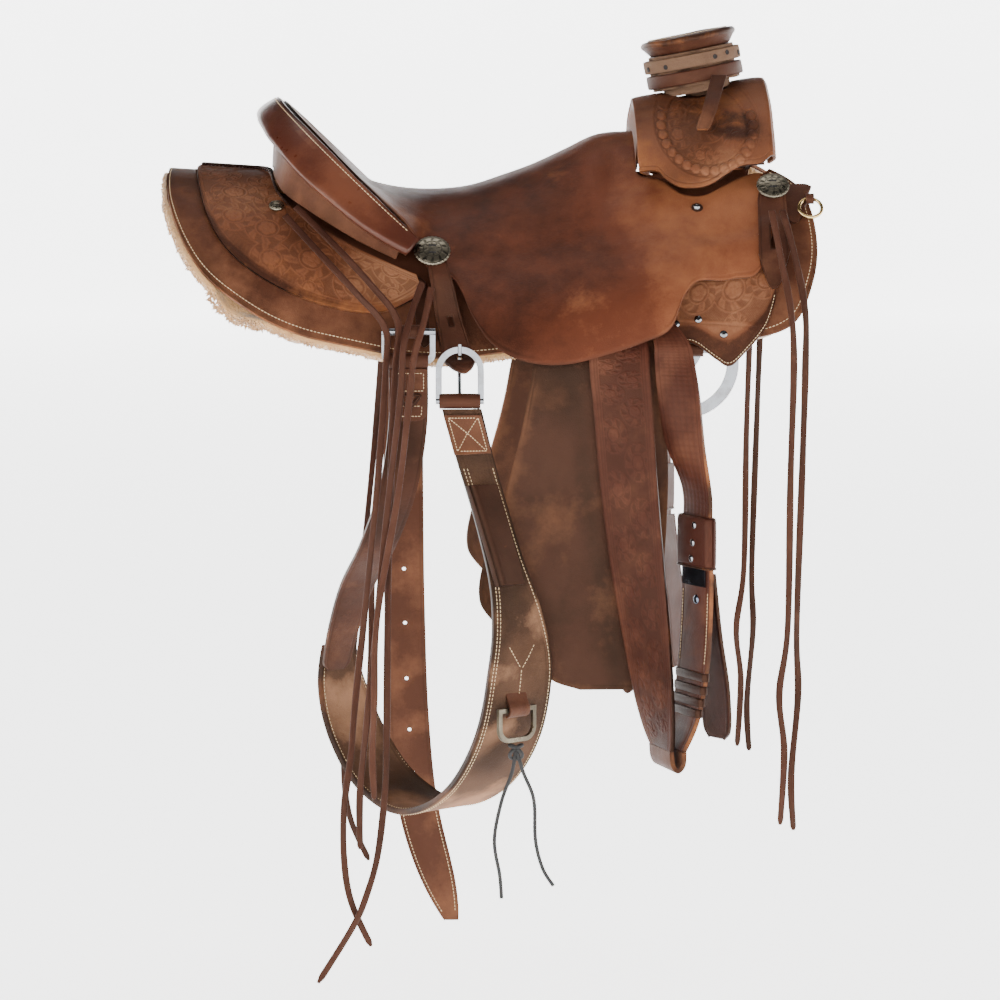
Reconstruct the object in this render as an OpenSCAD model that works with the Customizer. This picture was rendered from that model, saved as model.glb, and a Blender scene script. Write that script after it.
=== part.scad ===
// Western ranch saddle with a post horn, built in layers over its tree.
// +X is forward, +Y is the horse's left, +Z is up. The right-hand parts are drawn and mirrored.

/* [Saddle body] */
// Half width of the skirt surface at the rear
rear_half = 250; // [240:1:260]
// Half width of the skirt surface at the front
front_half = 246; // [242:1:250]
// Thickness of skirt leather
skirt_t = 4.5; // [3:0.5:4.5]
// Thickness of seat and jockey leather
seat_t = 4.5; // [3:0.5:5]
// Thickness of the fleece lining
fleece_t = 11; // [6:1:12]

/* [Cantle] */
// Height of the cantle rim above its arm ends
rim_high = 165; // [155:1:170]
// Half width of the cantle between its arm ends
rim_half = 172; // [168:1:176]
// Thickness of the rolled rim
roll_t = 11; // [9:1:12]

/* [Horn] */
// Horn cap diameter
cap_d = 112; // [104:1:114]
// Wrapped horn post diameter
wrap_d = 100; // [96:1:102]
// Tilt of the horn, up towards the front
horn_tilt = 11; // [8:1:12]

/* [Rigging] */
// Outer radius of the front rigging ring
ring_r = 62; // [58:1:62]
// Width of the flat band of the front rigging ring
ring_band = 13; // [10:1:13]
// Radius of the round bar along the top of each ring
bar_r = 4; // [3.5:0.1:4]

/* [Fender and stirrup leather] */
// Thickness of the fender
fender_t = 4; // [3:0.5:4]
// Width of the stirrup leather
leather_w = 67; // [64:1:68]

/* [Strings] */
// Width of each saddle string
string_w = 8; // [6:0.5:8]
// Diameter of the tie cord on the flank cinch
cord_d = 4; // [3:0.5:4]

/* [Hidden] */
$fn = 40;

gap = 0.6;
leather = [0.42, 0.23, 0.15];
tooled = [0.58, 0.36, 0.24];
dark_leather = [0.27, 0.15, 0.11];
rough_out = [0.45, 0.35, 0.28];
wool = [0.85, 0.76, 0.6];
rawhide = [0.82, 0.75, 0.6];
steel = [0.75, 0.76, 0.78];
old_silver = [0.55, 0.55, 0.5];
brass = [0.85, 0.72, 0.42];
black = [0.1, 0.1, 0.1];

// ---- curves -------------------------------------------------------------------------------

function mix(a, b, t) = a + (b - a) * t;
function clamp01(t) = min(1, max(0, t));
function ease(t) = let (c = clamp01(t)) c * c * (3 - 2 * c);
function unit(v) = v / norm(v);

// Smooth single-valued curve through [x, value] pairs in order of x.
function slope(p, k) = let (n = len(p) - 1, a = max(0, k - 1), b = min(n, k + 1))
    (p[b][1] - p[a][1]) / (p[b][0] - p[a][0]);
function curve(p, x) = let (n = len(p) - 1)
    x <= p[0][0] ? p[0][1] : x >= p[n][0] ? p[n][1] :
    let (i = max([for (k = [0:n - 1]) if (p[k][0] <= x) k]),
         d = p[i + 1][0] - p[i][0], t = (x - p[i][0]) / d, m0 = slope(p, i) * d, m1 = slope(p, i + 1) * d)
    (2 * t ^ 3 - 3 * t ^ 2 + 1) * p[i][1] + (t ^ 3 - 2 * t ^ 2 + t) * m0
    + (3 * t ^ 2 - 2 * t ^ 3) * p[i + 1][1] + (t ^ 3 - t ^ 2) * m1;

// Smooth open path through a list of points, at u from 0 to 1.
function path(p, u) = let (n = len(p) - 1, s = clamp01(u) * n, i = min(n - 1, floor(s)), t = s - i,
         a = p[max(0, i - 1)], b = p[i], c = p[i + 1], d = p[min(n, i + 2)])
    b + t / 2 * (c - a) + t ^ 2 * (a - 2.5 * b + 2 * c - d / 2) + t ^ 3 * (1.5 * b - a / 2 - 1.5 * c + d / 2);

// ---- the side surface that every layer follows ---------------------------------------------
// At each x the section is part of an ellipse. phi is 0 on the centre line and grows down the
// right-hand side, and h is the height above the underside of the skirt leather.

top_line = [[-385, 88], [-200, 74], [-75, 54], [60, 64], [180, 96], [300, 121], [360, 126]];
half_line = [[-385, rear_half], [0, rear_half - 2], [150, front_half], [360, front_half]];
deep_line = [[-385, 360], [-100, 345], [100, 335], [360, 340]];
function side(x, phi, h) = let (a = curve(half_line, x), b = curve(deep_line, x))
    [x, -(a + h) * sin(phi), curve(top_line, x) - b + (b + h) * cos(phi)];

// Closed sheet: f(u, v, k) gives its point with k 0 inside and 1 outside. Cells where has(i, j)
// is false are left open, which makes holes and notches.
module sheet(f, nu, nv, has = function (i, j) true) {
    function id(k, i, j) = (k * (nu + 1) + i) * (nv + 1) + j;
    function on(i, j) = i >= 0 && j >= 0 && i < nu && j < nv && has(i, j);
    points = [for (k = [0, 1], i = [0:nu], j = [0:nv]) f(i / nu, j / nv, k)];
    faces = [for (i = [0:nu - 1], j = [0:nv - 1]) if (on(i, j)) each [
        for (t = [[0, 1, 2], [0, 2, 3]]) let (c = [[i, j], [i + 1, j], [i + 1, j + 1], [i, j + 1]])
            each [[for (q = t) id(1, c[q][0], c[q][1])],
                  [for (q = [t[2], t[1], t[0]]) id(0, c[q][0], c[q][1])]],
        for (w = [[i, j - 1, i, j, i + 1, j], [i + 1, j, i + 1, j, i + 1, j + 1],
                  [i, j + 1, i + 1, j + 1, i, j + 1], [i - 1, j, i, j + 1, i, j]])
            if (!on(w[0], w[1])) each [
                [id(0, w[2], w[3]), id(0, w[4], w[5]), id(1, w[4], w[5])],
                [id(0, w[2], w[3]), id(1, w[4], w[5]), id(1, w[2], w[3])]]]];
    polyhedron(points, faces, convexity = 6);
}

// Layer of the side surface between an upper and a lower outline of [x, phi] points.
module layer(upper, lower, low, high, nu, nv, has = function (i, j) true) {
    sheet(function (u, v, k) let (p = mix(path(upper, u), path(lower, u), v), phi = max(0.6, p[1]))
        side(p[0], phi, k == 0 ? low(p[0], phi, v) : high(p[0], phi, v)), nu, nv, has);
}

// Closed tube: ring(u, a) gives the point at angle a of the section at u.
module sweep(ring, nu, sides) {
    points = [for (i = [0:nu], j = [0:sides - 1]) ring(i / nu, 360 * j / sides)];
    walls = [for (i = [0:nu - 1], j = [0:sides - 1])
        let (a = i * sides + j, b = i * sides + (j + 1) % sides)
        each [[a, b + sides, a + sides], [a, b, b + sides]]];
    polyhedron(points, concat(walls, [[for (j = [sides - 1:-1:0]) j]],
        [[for (j = [0:sides - 1]) nu * sides + j]]), convexity = 6);
}

module cord(route, wide, thick, nu) {
    sweep(function (u, a) let (p = path(route, u),
            t = unit(path(route, min(1, u + 0.01)) - path(route, max(0, u - 0.01))),
            across = unit(cross(t, [0, 1, 0])), out = cross(across, t))
        p + across * wide / 2 * cos(a) + out * thick / 2 * sin(a), nu, 8);
}

// Strap along a route: turn is the angle of its width about Z, wide and thick are curves of u.
module strap(route, turn, wide, thick, nu, nv = 1, has = function (i, j) true) {
    sheet(function (u, v, k) let (p = path(route, u), q = curve(turn, u),
            across = [cos(q), sin(q), 0],
            t = unit(path(route, min(1, u + 0.01)) - path(route, max(0, u - 0.01))),
            out = unit(cross(t, across)))
        p + across * curve(wide, u) * (0.5 - v) + out * thick * (k - 0.5), nu, nv, has);
}

module left() { mirror([0, 1, 0]) children(); }
module both() { children(); left() children(); }

// Puts a part on the side surface, its Z along the outward normal.
module at_side(x, phi, h) {
    p = side(x, phi, h);
    n = unit([0, -sin(phi) / curve(half_line, x), cos(phi) / curve(deep_line, x)]);
    translate(p) rotate([atan2(-n[1], n[2]), 0, 0]) children();
}

// ---- tree ----------------------------------------------------------------------------------

bar_upper = [[-300, 16], [-150, 15], [0, 16], [150, 17], [285, 22]];
bar_lower = [[-300, 40], [-150, 45], [0, 44], [150, 46], [285, 50]];
bar_t = 20;

module tree_bar() {
    color(rawhide) layer(bar_upper, bar_lower, function (x, phi, v) -9 - (bar_t - 9) * sin(180 * v),
        function (x, phi, v) -2.4 * gap, 16, 5);
}

fork_rear = 168;
fork_front = 312;
fork_half = 152;
fork_base = 58;
fork_high = 116;

// Point of the arched fork surface: reach scales the arch, phi runs from side to side.
function arch(x, phi, reach) = let (c = abs(cos(phi)) ^ 1.3, s = abs(sin(phi)) ^ 1.3,
        lift = (x - fork_rear) * 0.16)
    [x, -sign(phi) * fork_half * reach * s, fork_base + (fork_high + lift) * reach * c];

module tree_fork() {
    color(rawhide) difference() {
        sheet(function (u, v, k) let (x = mix(fork_rear + 10, fork_front - 8, u), t = mix(-1, 1, v))
                k == 1 ? arch(x, 66 * t, 0.94) : arch(x, 44 * t, 0.5), 6, 16);
        on_horn() {
            cylinder(d = 30.2, h = 120, center = true);
            translate([-60, -60, 1.5]) cube([120, 120, 60]);
        }
    }
}

horn_x = 238;
horn_low = 178;
module on_horn() { translate([horn_x, 0, horn_low]) rotate([0, -horn_tilt, 0]) children(); }

module horn_post() {
    color(rawhide) on_horn() {
        translate([0, 0, -50]) cylinder(d = 30, h = 52);
        translate([0, 0, 2]) cylinder(d = 78, h = 58);
    }
}

function rim(t) = let (z = 10 + rim_high * cos(90 * t)) [-72 - z, -rim_half * sin(90 * t), z];
base_x = [[0, -252], [0.35, -244], [0.55, -216], [0.75, -164], [1, -96]];
base_y = [[0, 0], [0.35, 84], [0.55, 118], [0.75, 147], [1, 166]];
function base(t) = let (s = sign(t), q = abs(t), x = curve(base_x, q), y = curve(base_y, q),
        p = side(x, asin(y / (curve(half_line, x) + 11)), 11)) [x, -s * y, p[2]];
function rim_s(t) = let (p = rim(abs(t))) [p[0], sign(t) * p[1], p[2]];

module tree_cantle() {
    color(rawhide) sheet(function (u, v, k) let (t = mix(-0.86, 0.86, u), r = rim_s(t), b = base(t),
            low = [r[0] + 3, r[1] * 0.95, r[2] - 15], fx = b[0] + 38, fy = abs(b[1]) * 0.78,
            ground = side(fx, asin(fy / curve(half_line, fx)), 1), foot = [fx, sign(b[1]) * fy, ground[2]])
        k == 1 ? mix(mix(r, b, 0.16) + [3.5, -r[1] * 0.025, 0], b + [3.5, -b[1] * 0.03, 1], v)
               : mix(low, foot, v), 20, 3);
}

// ---- seat ----------------------------------------------------------------------------------

seat_line = [[-242, 163], [-225, 135], [-200, 107], [-160, 83], [-120, 71], [-75, 67], [-30, 71],
    [9, 83], [45, 96], [82, 113], [119, 130], [160, 134]];
seat_edge = [[-242, 4], [-228, 16], [-214, 22], [-168, 32.5], [-123, 38], [-80, 42.5], [-55, 43.5],
    [-45, 47], [-34, 53.5], [-17, 59.2], [5, 62.8], [34, 65.2], [69, 66.5], [114, 66.8], [160, 66.5],
    [189, 65], [204, 59.5], [221, 56.5], [262, 56], [290, 55.5], [306, 48], [318, 40]];
seat_inner = [[150, 16], [164, 21], [188, 24.5], [207, 30.5], [233, 32.5], [257, 30.5], [278, 28.5],
    [300, 28.5], [318, 32]];

// Height of the jockey's underside: it swells over the stirrup leathers and lies on the rigging plate.
function jockey_h(x, phi) = mix(10, 6.5, ease((x - 190) / 50))
    + jockey_swell * ease((phi - 36) / 28) * (1 - ease((x - 200) / 55))
    + 4 * ease((x - 205) / 25) * ease((phi - 44) / 5);
function seat_h(x, phi) = mix(curve(seat_line, x) - seat_t - curve(top_line, x), jockey_h(x, phi),
    ease(phi / (x > 120 ? 27 : 38)));
// Height of the dished part in front of the cantle, at half width y.
function dish_z(x, y) = let (edge = max(18, rear_half * sin(curve(seat_edge, x))))
    mix(curve(seat_line, x), -72 - x, min(1.1, (y / edge) ^ 2));
function seat_point(x, phi, lift) = let (q = abs(phi), s = sign(phi), w = ease((x + 110) / 60),
        y = rear_half * sin(q), f = side(x, q, seat_h(x, q) + lift),
        d = [x, -y, dish_z(x, y) - seat_t - 2 + lift * (1 + 2 / seat_t)], p = mix(d, f, w))
    [p[0], s * p[1], p[2]];

module seat_leather() {
    nu = 32;
    nv = 22;
    side_cells = 7;
    back = -242;
    front = 318;
    split = 22;
    function x_of(i) = i <= split ? mix(back, 160, i / split) : mix(160, front, (i - split) / (nu - split));
    function phi_of(x, c) = let (e = curve(seat_edge, x), half = nv / 2, q = abs(c) / half,
            q0 = 1 - side_cells / half, n = mix(q0 * e, curve(seat_inner, x), ease((x - 90) / 60)))
        (c < 0 ? -1 : 1) * (q < q0 ? n * q / q0 : mix(n, e, (q - q0) / (1 - q0)));
    color(leather) sheet(function (u, v, k) let (x = x_of(round(u * nu)),
            phi = phi_of(x, round(v * nv) - nv / 2)) seat_point(x, phi, k * seat_t),
        nu, nv, function (i, j) i < split || j < side_cells || j >= nv - side_cells);
}

module ground_seat() {
    color(dark_leather) sheet(function (u, v, k) let (x = mix(-90, 104, u), phi = mix(-31, 31, v))
        k == 1 ? seat_point(x, phi, -2.4) : let (p = side(x, abs(phi), 0.4)) [x, sign(phi) * p[1], p[2]],
        12, 10);
}

// ---- skirts, fleece, jockeys ----------------------------------------------------------------

skirt_upper = [[-372, 1], [-350, 1], [-315, 1], [-275, 1], [-262, 10], [-246, 26], [-190, 38],
    [-110, 45], [0, 40], [110, 38], [200, 36], [250, 35.5], [285, 34], [300, 29], [306, 27]];
skirt_lower = [[-378, 3], [-374, 26], [-344, 43], [-292, 52.5], [-222, 58.4], [-130, 59.8], [0, 59.5],
    [110, 59.5], [190, 61], [262, 67.5], [325, 66.5], [352, 57.5], [358, 47], [345, 34], [311, 25.5]];

module skirt() {
    color(leather) layer(skirt_upper, skirt_lower, function (x, phi, v) 0,
        function (x, phi, v) skirt_t, 34, 8);
}

// The fleece runs under the bars, then rises to the underside of the skirt.
function under_bar(x, phi) = ease((x + 322) / 14) * (1 - ease((x - 296) / 16))
    * ease((phi - 9) / 3) * (1 - ease((phi - 51) / 5));
fleece_upper = [[-370, 1], [-315, 1], [-250, 4], [-150, 9], [0, 10], [150, 11], [240, 14], [290, 18],
    [306, 24]];
module fleece() {
    color(wool) layer(fleece_upper, [for (p = skirt_lower) [p[0] * 1.012, p[1] + 0.4]],
        function (x, phi, v) -2.5 * gap - fleece_t - (bar_t + 1) * under_bar(x, phi),
        function (x, phi, v) -2.5 * gap - (bar_t + 0.5) * under_bar(x, phi), 30, 12);
}

jockey_upper = [[-342, 1], [-320, 1], [-295, 1], [-275, 1], [-262, 6], [-252, 20], [-224, 28.5],
    [-170, 36], [-124, 39.5], [-94, 41.5]];
jockey_lower = [[-345, 6], [-343, 16], [-333, 29], [-310, 39.5], [-270, 46.5], [-220, 51], [-170, 52.6],
    [-130, 51.3], [-101, 48], [-88, 45.5]];
module rear_jockey() {
    color(tooled) layer(jockey_upper, jockey_lower, function (x, phi, v) skirt_t + 3 * gap,
        function (x, phi, v) skirt_t + 3 * gap + 4, 26, 5);
}

plate_t = 3.6;
plate_upper = [[190, 50], [215, 50], [240, 50], [265, 50], [290, 52], [306, 55]];
plate_lower = [[190, 66.5], [214, 67], [240, 71], [254, 72.8], [268, 71.5], [296, 66.5], [309, 60]];
module rigging_plate() {
    color(tooled) layer(plate_upper, plate_lower, function (x, phi, v) skirt_t + gap,
        function (x, phi, v) skirt_t + gap + plate_t, 12, 5);
}

// ---- fork and horn leather ------------------------------------------------------------------

cover_out = [[172, 0.78], [164, 0.88], [161, 0.96], [168, 1], [240, 1], [304, 1], [316, 0.96],
    [318, 0.88], [312, 0.78]];
// Angle of the cover's lower edge down the fork's side, against x: it hangs in a rounded lobe.
cover_edge = [[161, 60], [176, 61], [183, 66], [190, 72.5], [205, 77.5], [219, 78.5], [232, 78], [245, 75.5],
    [256, 72], [276, 67], [299, 66], [312, 62]];
module fork_cover() {
    color(leather) difference() {
        sheet(function (u, v, k) let (o = path(cover_out, u), phi = curve(cover_edge, o[0]) * (2 * v - 1),
                mid = (o[0] - 239) / 78)
            arch(o[0] - mid * (1 - k) * 4.5, phi, o[1] - (1 - k) * 0.03), 24, 18);
        on_horn() cylinder(r = 41, h = 90, center = true);
    }
}

module horn_wrap() {
    color(rough_out) on_horn() difference() {
        translate([0, 0, 12]) cylinder(d = wrap_d, h = 38);
        cylinder(d = 79, h = 90);
    }
}

// Two flat turns of strap round the wrapped horn, and the tail that hangs down its right side.
module horn_strap() {
    color(dark_leather) {
        on_horn() for (z = [13.2, 30.6]) translate([0, 0, z]) difference() {
            cylinder(d = wrap_d + 12, h = 16.6);
            translate([0, 0, -1]) cylinder(d = wrap_d + 1, h = 18);
        }
        strap([[257, -57, 196], [250, -76, 178], [243, -97, 160], [234, -113, 136]],
            [[0, 6], [1, 12]], [[0, 18], [1, 16]], 3, 8);
    }
}

module horn_cap() {
    color(dark_leather) on_horn() {
        translate([0, 0, 50.5]) rotate_extrude()
            polygon([[40.5, 0], [46, 0], [cap_d / 2 - 4, 9], [cap_d / 2, 13], [cap_d / 2 - 2, 17], [0, 21],
                [0, 11], [40.5, 11]]);
    }
}

// ---- cantle leather --------------------------------------------------------------------------

module cantle_back() {
    color(leather) sheet(function (u, v, k) let (t = mix(-0.93, 0.93, u), r = rim_s(t), b = base(t),
            p = mix(r, b, mix(0.2, 0.98, v)), out = unit([-1.2 + abs(t) * 0.8, p[1] / 170, 0.1]))
        p + out * 4 * k, 24, 3);
}

roll_wide = [[0, 30], [0.5, 44], [0.8, 40], [0.98, 24]];
module cantle_roll() {
    color(dark_leather) sweep(function (u, a) let (t = mix(-0.97, 0.97, u), q = abs(t), s = sign(t),
            r = rim_s(t), out = unit([-0.75 + 0.25 * q, -s * (t == 0 ? 0 : 0.62 * q), -0.6]),
            along = unit(rim_s(t + 0.02) - rim_s(t - 0.02)), up = unit(cross(out, along)),
            w = curve(roll_wide, q))
        r + out * (w / 2 + 4.5 + (w / 2 + 1) * cos(a)) + up * roll_t / 2 * sin(a), 30, 10);
}

// ---- hardware --------------------------------------------------------------------------------

module concho(r) {
    rotate_extrude()
        polygon([[0, 0], [r, 0], [r, 1.6], [r - 2, 3.2], [r * 0.5, 4.6], [0, 5.4]]);
}

module conchos() {
    color(old_silver) both() {
        at_side(311, 35.5, 18.6) concho(19);
        at_side(-76, 39, 32.5) concho(21);
        at_side(-252, 26.6, 11) concho(9);
        at_side(225, 36.5, 13) concho(5);
    }
}

// Rounded leather pads under the conchos carry the keepers.
jockey_swell = 29;
module latigo_keepers() {
    function low(phi) = 13 + 4 * ease((phi - 42) / 5);
    color(leather) both() layer([[293, 38], [301, 33], [309, 32], [317, 33], [325, 38]],
        [[290, 52], [298, 58], [306, 59.8], [315, 58], [326, 52]],
        function (x, phi, v) low(phi), function (x, phi, v) low(phi) + 3.6, 5, 10,
        function (i, j) i != 2 || j < 5 || j > 6);
}

module flank_keepers() {
    function low(phi) = 27.5 - 18.5 * ease((phi - 44) / 9) + 22 * ease((phi - 59.5) / 5);
    color(leather) both() layer([[-86, 38], [-81, 35.5], [-76, 35], [-71, 35.5], [-66, 38]],
        [[-64, 61.5], [-54, 64], [-42, 65], [-34, 64], [-29, 61.5]],
        function (x, phi, v) low(phi), function (x, phi, v) low(phi) + 3.6, 5, 16,
        function (i, j) i != 2 || (j != 9 && j != 13));
}

module rigging_rivets() {
    color(steel) both() for (p = [[221, 62.5], [249, 66.5], [196, 62.5]])
        at_side(p[0], p[1], skirt_t + gap + plate_t + 0.3) rotate_extrude()
            polygon([[0, 0], [4.5, 0], [4, 1.4], [2, 2.4], [0, 2.6]]);
}

ring_x = 205;
ring_y = -222;
ring_bar_z = -106;
module front_ring() {
    color(steel) translate([ring_x, ring_y, ring_bar_z]) {
        rotate([90, 0, 0]) linear_extrude(5, center = true) difference() {
            intersection() {
                translate([0, -15]) circle(ring_r, $fn = 72);
                translate([-80, -90]) square([160, 90]);
            }
            translate([0, -15]) circle(ring_r - ring_band, $fn = 72);
            translate([-36, -30]) square([72, 31]);
        }
        rotate([0, 90, 0]) cylinder(r = bar_r, h = 2 * (ring_r - 6), center = true);
    }
}

module rigging_loops() {
    color(leather) both() {
        translate([ring_x, ring_y, ring_bar_z]) rotate([0, 90, 0]) difference() {
            cylinder(r = bar_r + 3.6, h = 44, center = true);
            cylinder(r = bar_r + 0.4, h = 50, center = true);
        }
        translate([rear_ring_x, rear_ring_y, rear_bar_z]) rotate([0, 90, 0]) difference() {
            cylinder(r = bar_r + 3.6, h = 30, center = true);
            cylinder(r = bar_r + 0.4, h = 50, center = true);
        }
    }
}

rear_ring_x = -104;
rear_ring_y = -232;
rear_bar_z = -84;
rear_half_w = 30;
rear_drop = 36;
rear_corner = 10;
rear_band = 6;
// Flat shape that hangs from y 0, half width w, with rounded lower corners.
module hanging_outline(w, drop, r) {
    for (x = [-w + r, w - r]) translate([x, -drop + r]) circle(r);
    translate([-w, -drop + r]) square([2 * w, drop - r]);
    translate([-w + r, -drop]) square([2 * (w - r), drop]);
}
module rear_ring() {
    color(steel) translate([rear_ring_x, rear_ring_y, rear_bar_z]) {
        rotate([90, 0, 0]) linear_extrude(4.4, center = true) difference() {
            hanging_outline(rear_half_w, rear_drop, rear_corner);
            hanging_outline(rear_half_w - rear_band, rear_drop - rear_band, rear_corner - rear_band / 2);
        }
        rotate([0, 90, 0]) cylinder(r = bar_r, h = 2 * rear_half_w, center = true);
    }
}

dee_x = 352;
dee_phi = 41.5;
dee_r = 13;
dee_bar = 1.9;
dee_h = 14.5;
module breast_tabs() {
    color(leather) both() {
        layer([[326, 33.5], [334, 33], [342, 33], [350, 33.2], [356, 34]],
            [[326, 43], [331, 44], [336, 44], [341, 43], [345, 40]],
            function (x, phi, v) skirt_t + gap, function (x, phi, v) skirt_t + gap + 3.6, 4, 4);
        at_side(dee_x, dee_phi, dee_h) translate([0, dee_r, 0]) rotate([0, 90, 0]) difference() {
            cylinder(r = 6, h = 9, center = true);
            cylinder(r = 3.2, h = 10, center = true);
        }
    }
}

module breast_dee() {
    color(brass) at_side(dee_x, dee_phi, dee_h) rotate_extrude($fn = 48) translate([dee_r, 0])
        circle(dee_bar, $fn = 24);
}

// ---- fender and stirrup leather ---------------------------------------------------------------

// Hang plane of the fender's inner face against height: it leans in under the jockey at the top.
hang = [[-480, -246], [-128, -246], [-100, -236.6], [-68, -216.5]];
fender_rear = [[-487, 88], [-478, 60], [-455, 32], [-420, 0], [-386, -25], [-330, -18], [-262, 4],
    [-202, 20], [-150, 30], [-100, 42], [-68, 66]];
fender_front = [[-487, 158], [-400, 176], [-260, 186], [-170, 182], [-125, 176], [-90, 170], [-68, 158]];
module fender() {
    color(leather) sheet(function (u, v, k) let (z = mix(-487, -68, u), y = curve(hang, z),
            x = mix(curve(fender_rear, z), curve(fender_front, z), v)) [x, y - k * fender_t, z], 26, 1);
}

// The outer run of the stirrup leather lies on the fender and turns its front edge outward lower
// down, goes round the stirrup loop and climbs in front of itself to the buckle and the tree.
run_turn = [[0, 0], [0.12, 0], [0.4, -14], [0.6, -28], [0.8, -48], [1, -74]];
outer_run = [[128, -225.5, -68], [130, -250, -98], [131, -260, -128], [135, -263, -170], [141, -267.5, -250],
    [150, -275, -340], [160, -282, -420], [170, -287, -500], [177, -288, -546]];
back_run = [[191, -292, -546], [204, -290, -510], [213, -287, -450], [217, -284, -368], [217, -281, -300],
    [216, -280, -258], [203, -275, -206], [196, -269, -150], [192, -262, -116], [188, -255, -94], [172, -226, -68]];
back_turn = [[0, -74], [0.2, -65], [0.5, -63], [0.62, -36], [0.75, -12], [0.88, 0], [1, 0]];
tail_run = [[223, -279, -350], [230, -277, -420], [238, -276, -480], [241, -275, -538]];

module stirrup_leather() {
    color(tooled) {
        strap(outer_run, run_turn, [[0, leather_w], [1, leather_w]], 5, 18);
        strap([[177, -288, -546.5], [178.5, -289, -561], [184, -290, -568], [190, -291, -561],
            [191, -292, -546.5]], [[0, -74], [1, -74]], [[0, leather_w], [1, leather_w]], 5, 10);
        strap(back_run, back_turn, [[0, 64], [0.35, 62], [0.5, 55], [0.75, 46], [0.88, 40], [1, 26]], 5, 20);
        strap(tail_run, [[0, -63], [1, -54]], [[0, 50], [0.8, 48], [1, 30]], 4, 8);
    }
}

module stirrup_buckle() {
    color(steel) strap([[212.7, -286.4, -364], [212.7, -283.4, -300]], [[0, -63], [1, -63]], [[0, 48], [1, 48]], 1.6, 1);
}

module buckle_sleeve() {
    color(dark_leather) translate([216, -282, -315]) rotate([0, 0, -63]) difference() {
        cube([69, 15, 57], center = true);
        cube([66.2, 12.2, 60], center = true);
    }
}

// ---- rear billets, flank cinch -----------------------------------------------------------------

billet_z = rear_bar_z - rear_drop + rear_band / 2;
module billet_loop() {
    translate([rear_ring_x, rear_ring_y, billet_z]) rotate([0, 90, 0]) difference() {
        cylinder(r = 8.6, h = 38, center = true);
        cylinder(r = 4.6, h = 40, center = true);
    }
}
billet_top = billet_z - 7.5;

module rear_billet_right() {
    color(dark_leather) {
        billet_loop();
        strap([[-104, -232, billet_top], [-105, -232, -190], [-116, -215, -262], [-138, -170, -330],
            [-162, -110, -385], [-178, -76, -440], [-188, -60, -490]],
            [[0, 0], [0.4, 8], [1, 40]], [[0, 44], [1, 38]], 5, 16);
    }
}

module rear_billet_left() {
    color(dark_leather) {
        left() billet_loop();
        strap([[-104, 232, billet_top], [-104, 232, -300], [-103, 232, -450], [-98, 232, -600],
        [-84, 232, -720], [-46, 232, -850]], [[0, 0], [1, 0]], [[0, 48], [0.8, 50], [1, 18]], 5, 14);
    }
}

cinch_route = [[-45, -246, -170], [-30, -256, -228], [-6, -276, -310], [14, -288, -390], [18, -286, -460],
    [4, -268, -540], [-30, -228, -604], [-78, -170, -634], [-124, -114, -618], [-160, -70, -570],
    [-180, -48, -510], [-184, -44, -462]];
cinch_turn = [[0, 0], [0.12, 16], [0.3, 36], [1, 40]];
cinch_wide = [[0, 44], [0.2, 46], [0.3, 74], [0.38, 94], [0.6, 98], [0.85, 80], [1, 46]];

module flank_cinch() {
    color(rough_out) strap(cinch_route, cinch_turn, cinch_wide, 7, 32, 2);
}

module cinch_pocket() {
    color(dark_leather) strap([for (u = [0.12, 0.15, 0.18, 0.21, 0.24]) path(cinch_route, u) + [0, -9.5, 0]],
        [[0, 16], [1, 30]], [[0, 34], [1, 34]], 6, 5);
}

buckle_x = -47;
buckle_y = -244;
module flank_buckle() {
    color(steel) translate([buckle_x, buckle_y, -127]) {
        rotate([90, 0, 0]) linear_extrude(4, center = true) difference() {
            union() {
                circle(27, $fn = 60);
                translate([-27, -34]) square([54, 34]);
            }
            circle(20, $fn = 60);
            translate([-20, -35]) square([40, 35]);
        }
        translate([0, 0, -34]) rotate([0, 90, 0]) cylinder(r = 3.4, h = 54, center = true);
    }
}

// The tongue climbs behind the keeper, comes out through its hole and rests over the frame.
tongue_route = [[-47, -240, -155.5], [-47, -233, -142], [-47, -226, -126], [-47, -228, -115],
    [-47, -238, -110.8], [-47, -247, -109.4], [-47, -249.6, -104], [-47, -249.6, -97]];
module buckle_tongue() {
    color(steel) translate([buckle_x, buckle_y, -161]) {
        rotate([0, 90, 0]) difference() {
            cylinder(r = 7, h = 7, center = true);
            cylinder(r = 3.8, h = 8, center = true);
        }
    }
    color(steel) sweep(function (u, a) let (p = path(tongue_route, u))
        p + [2.1 * cos(a), 0, 0] + 2.1 * sin(a) * unit(cross([1, 0, 0],
            path(tongue_route, min(1, u + 0.01)) - path(tongue_route, max(0, u - 0.01)))), 16, 8);
}

module cinch_dee() {
    color(old_silver) translate([15, -288.6, -500]) rotate([90, 0, 40]) linear_extrude(4, center = true)
        difference() {
            hanging_outline(28, 39, 16);
            translate([0, -5]) hanging_outline(23, 29, 12);
        }
}

// ---- strings ------------------------------------------------------------------------------------

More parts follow.
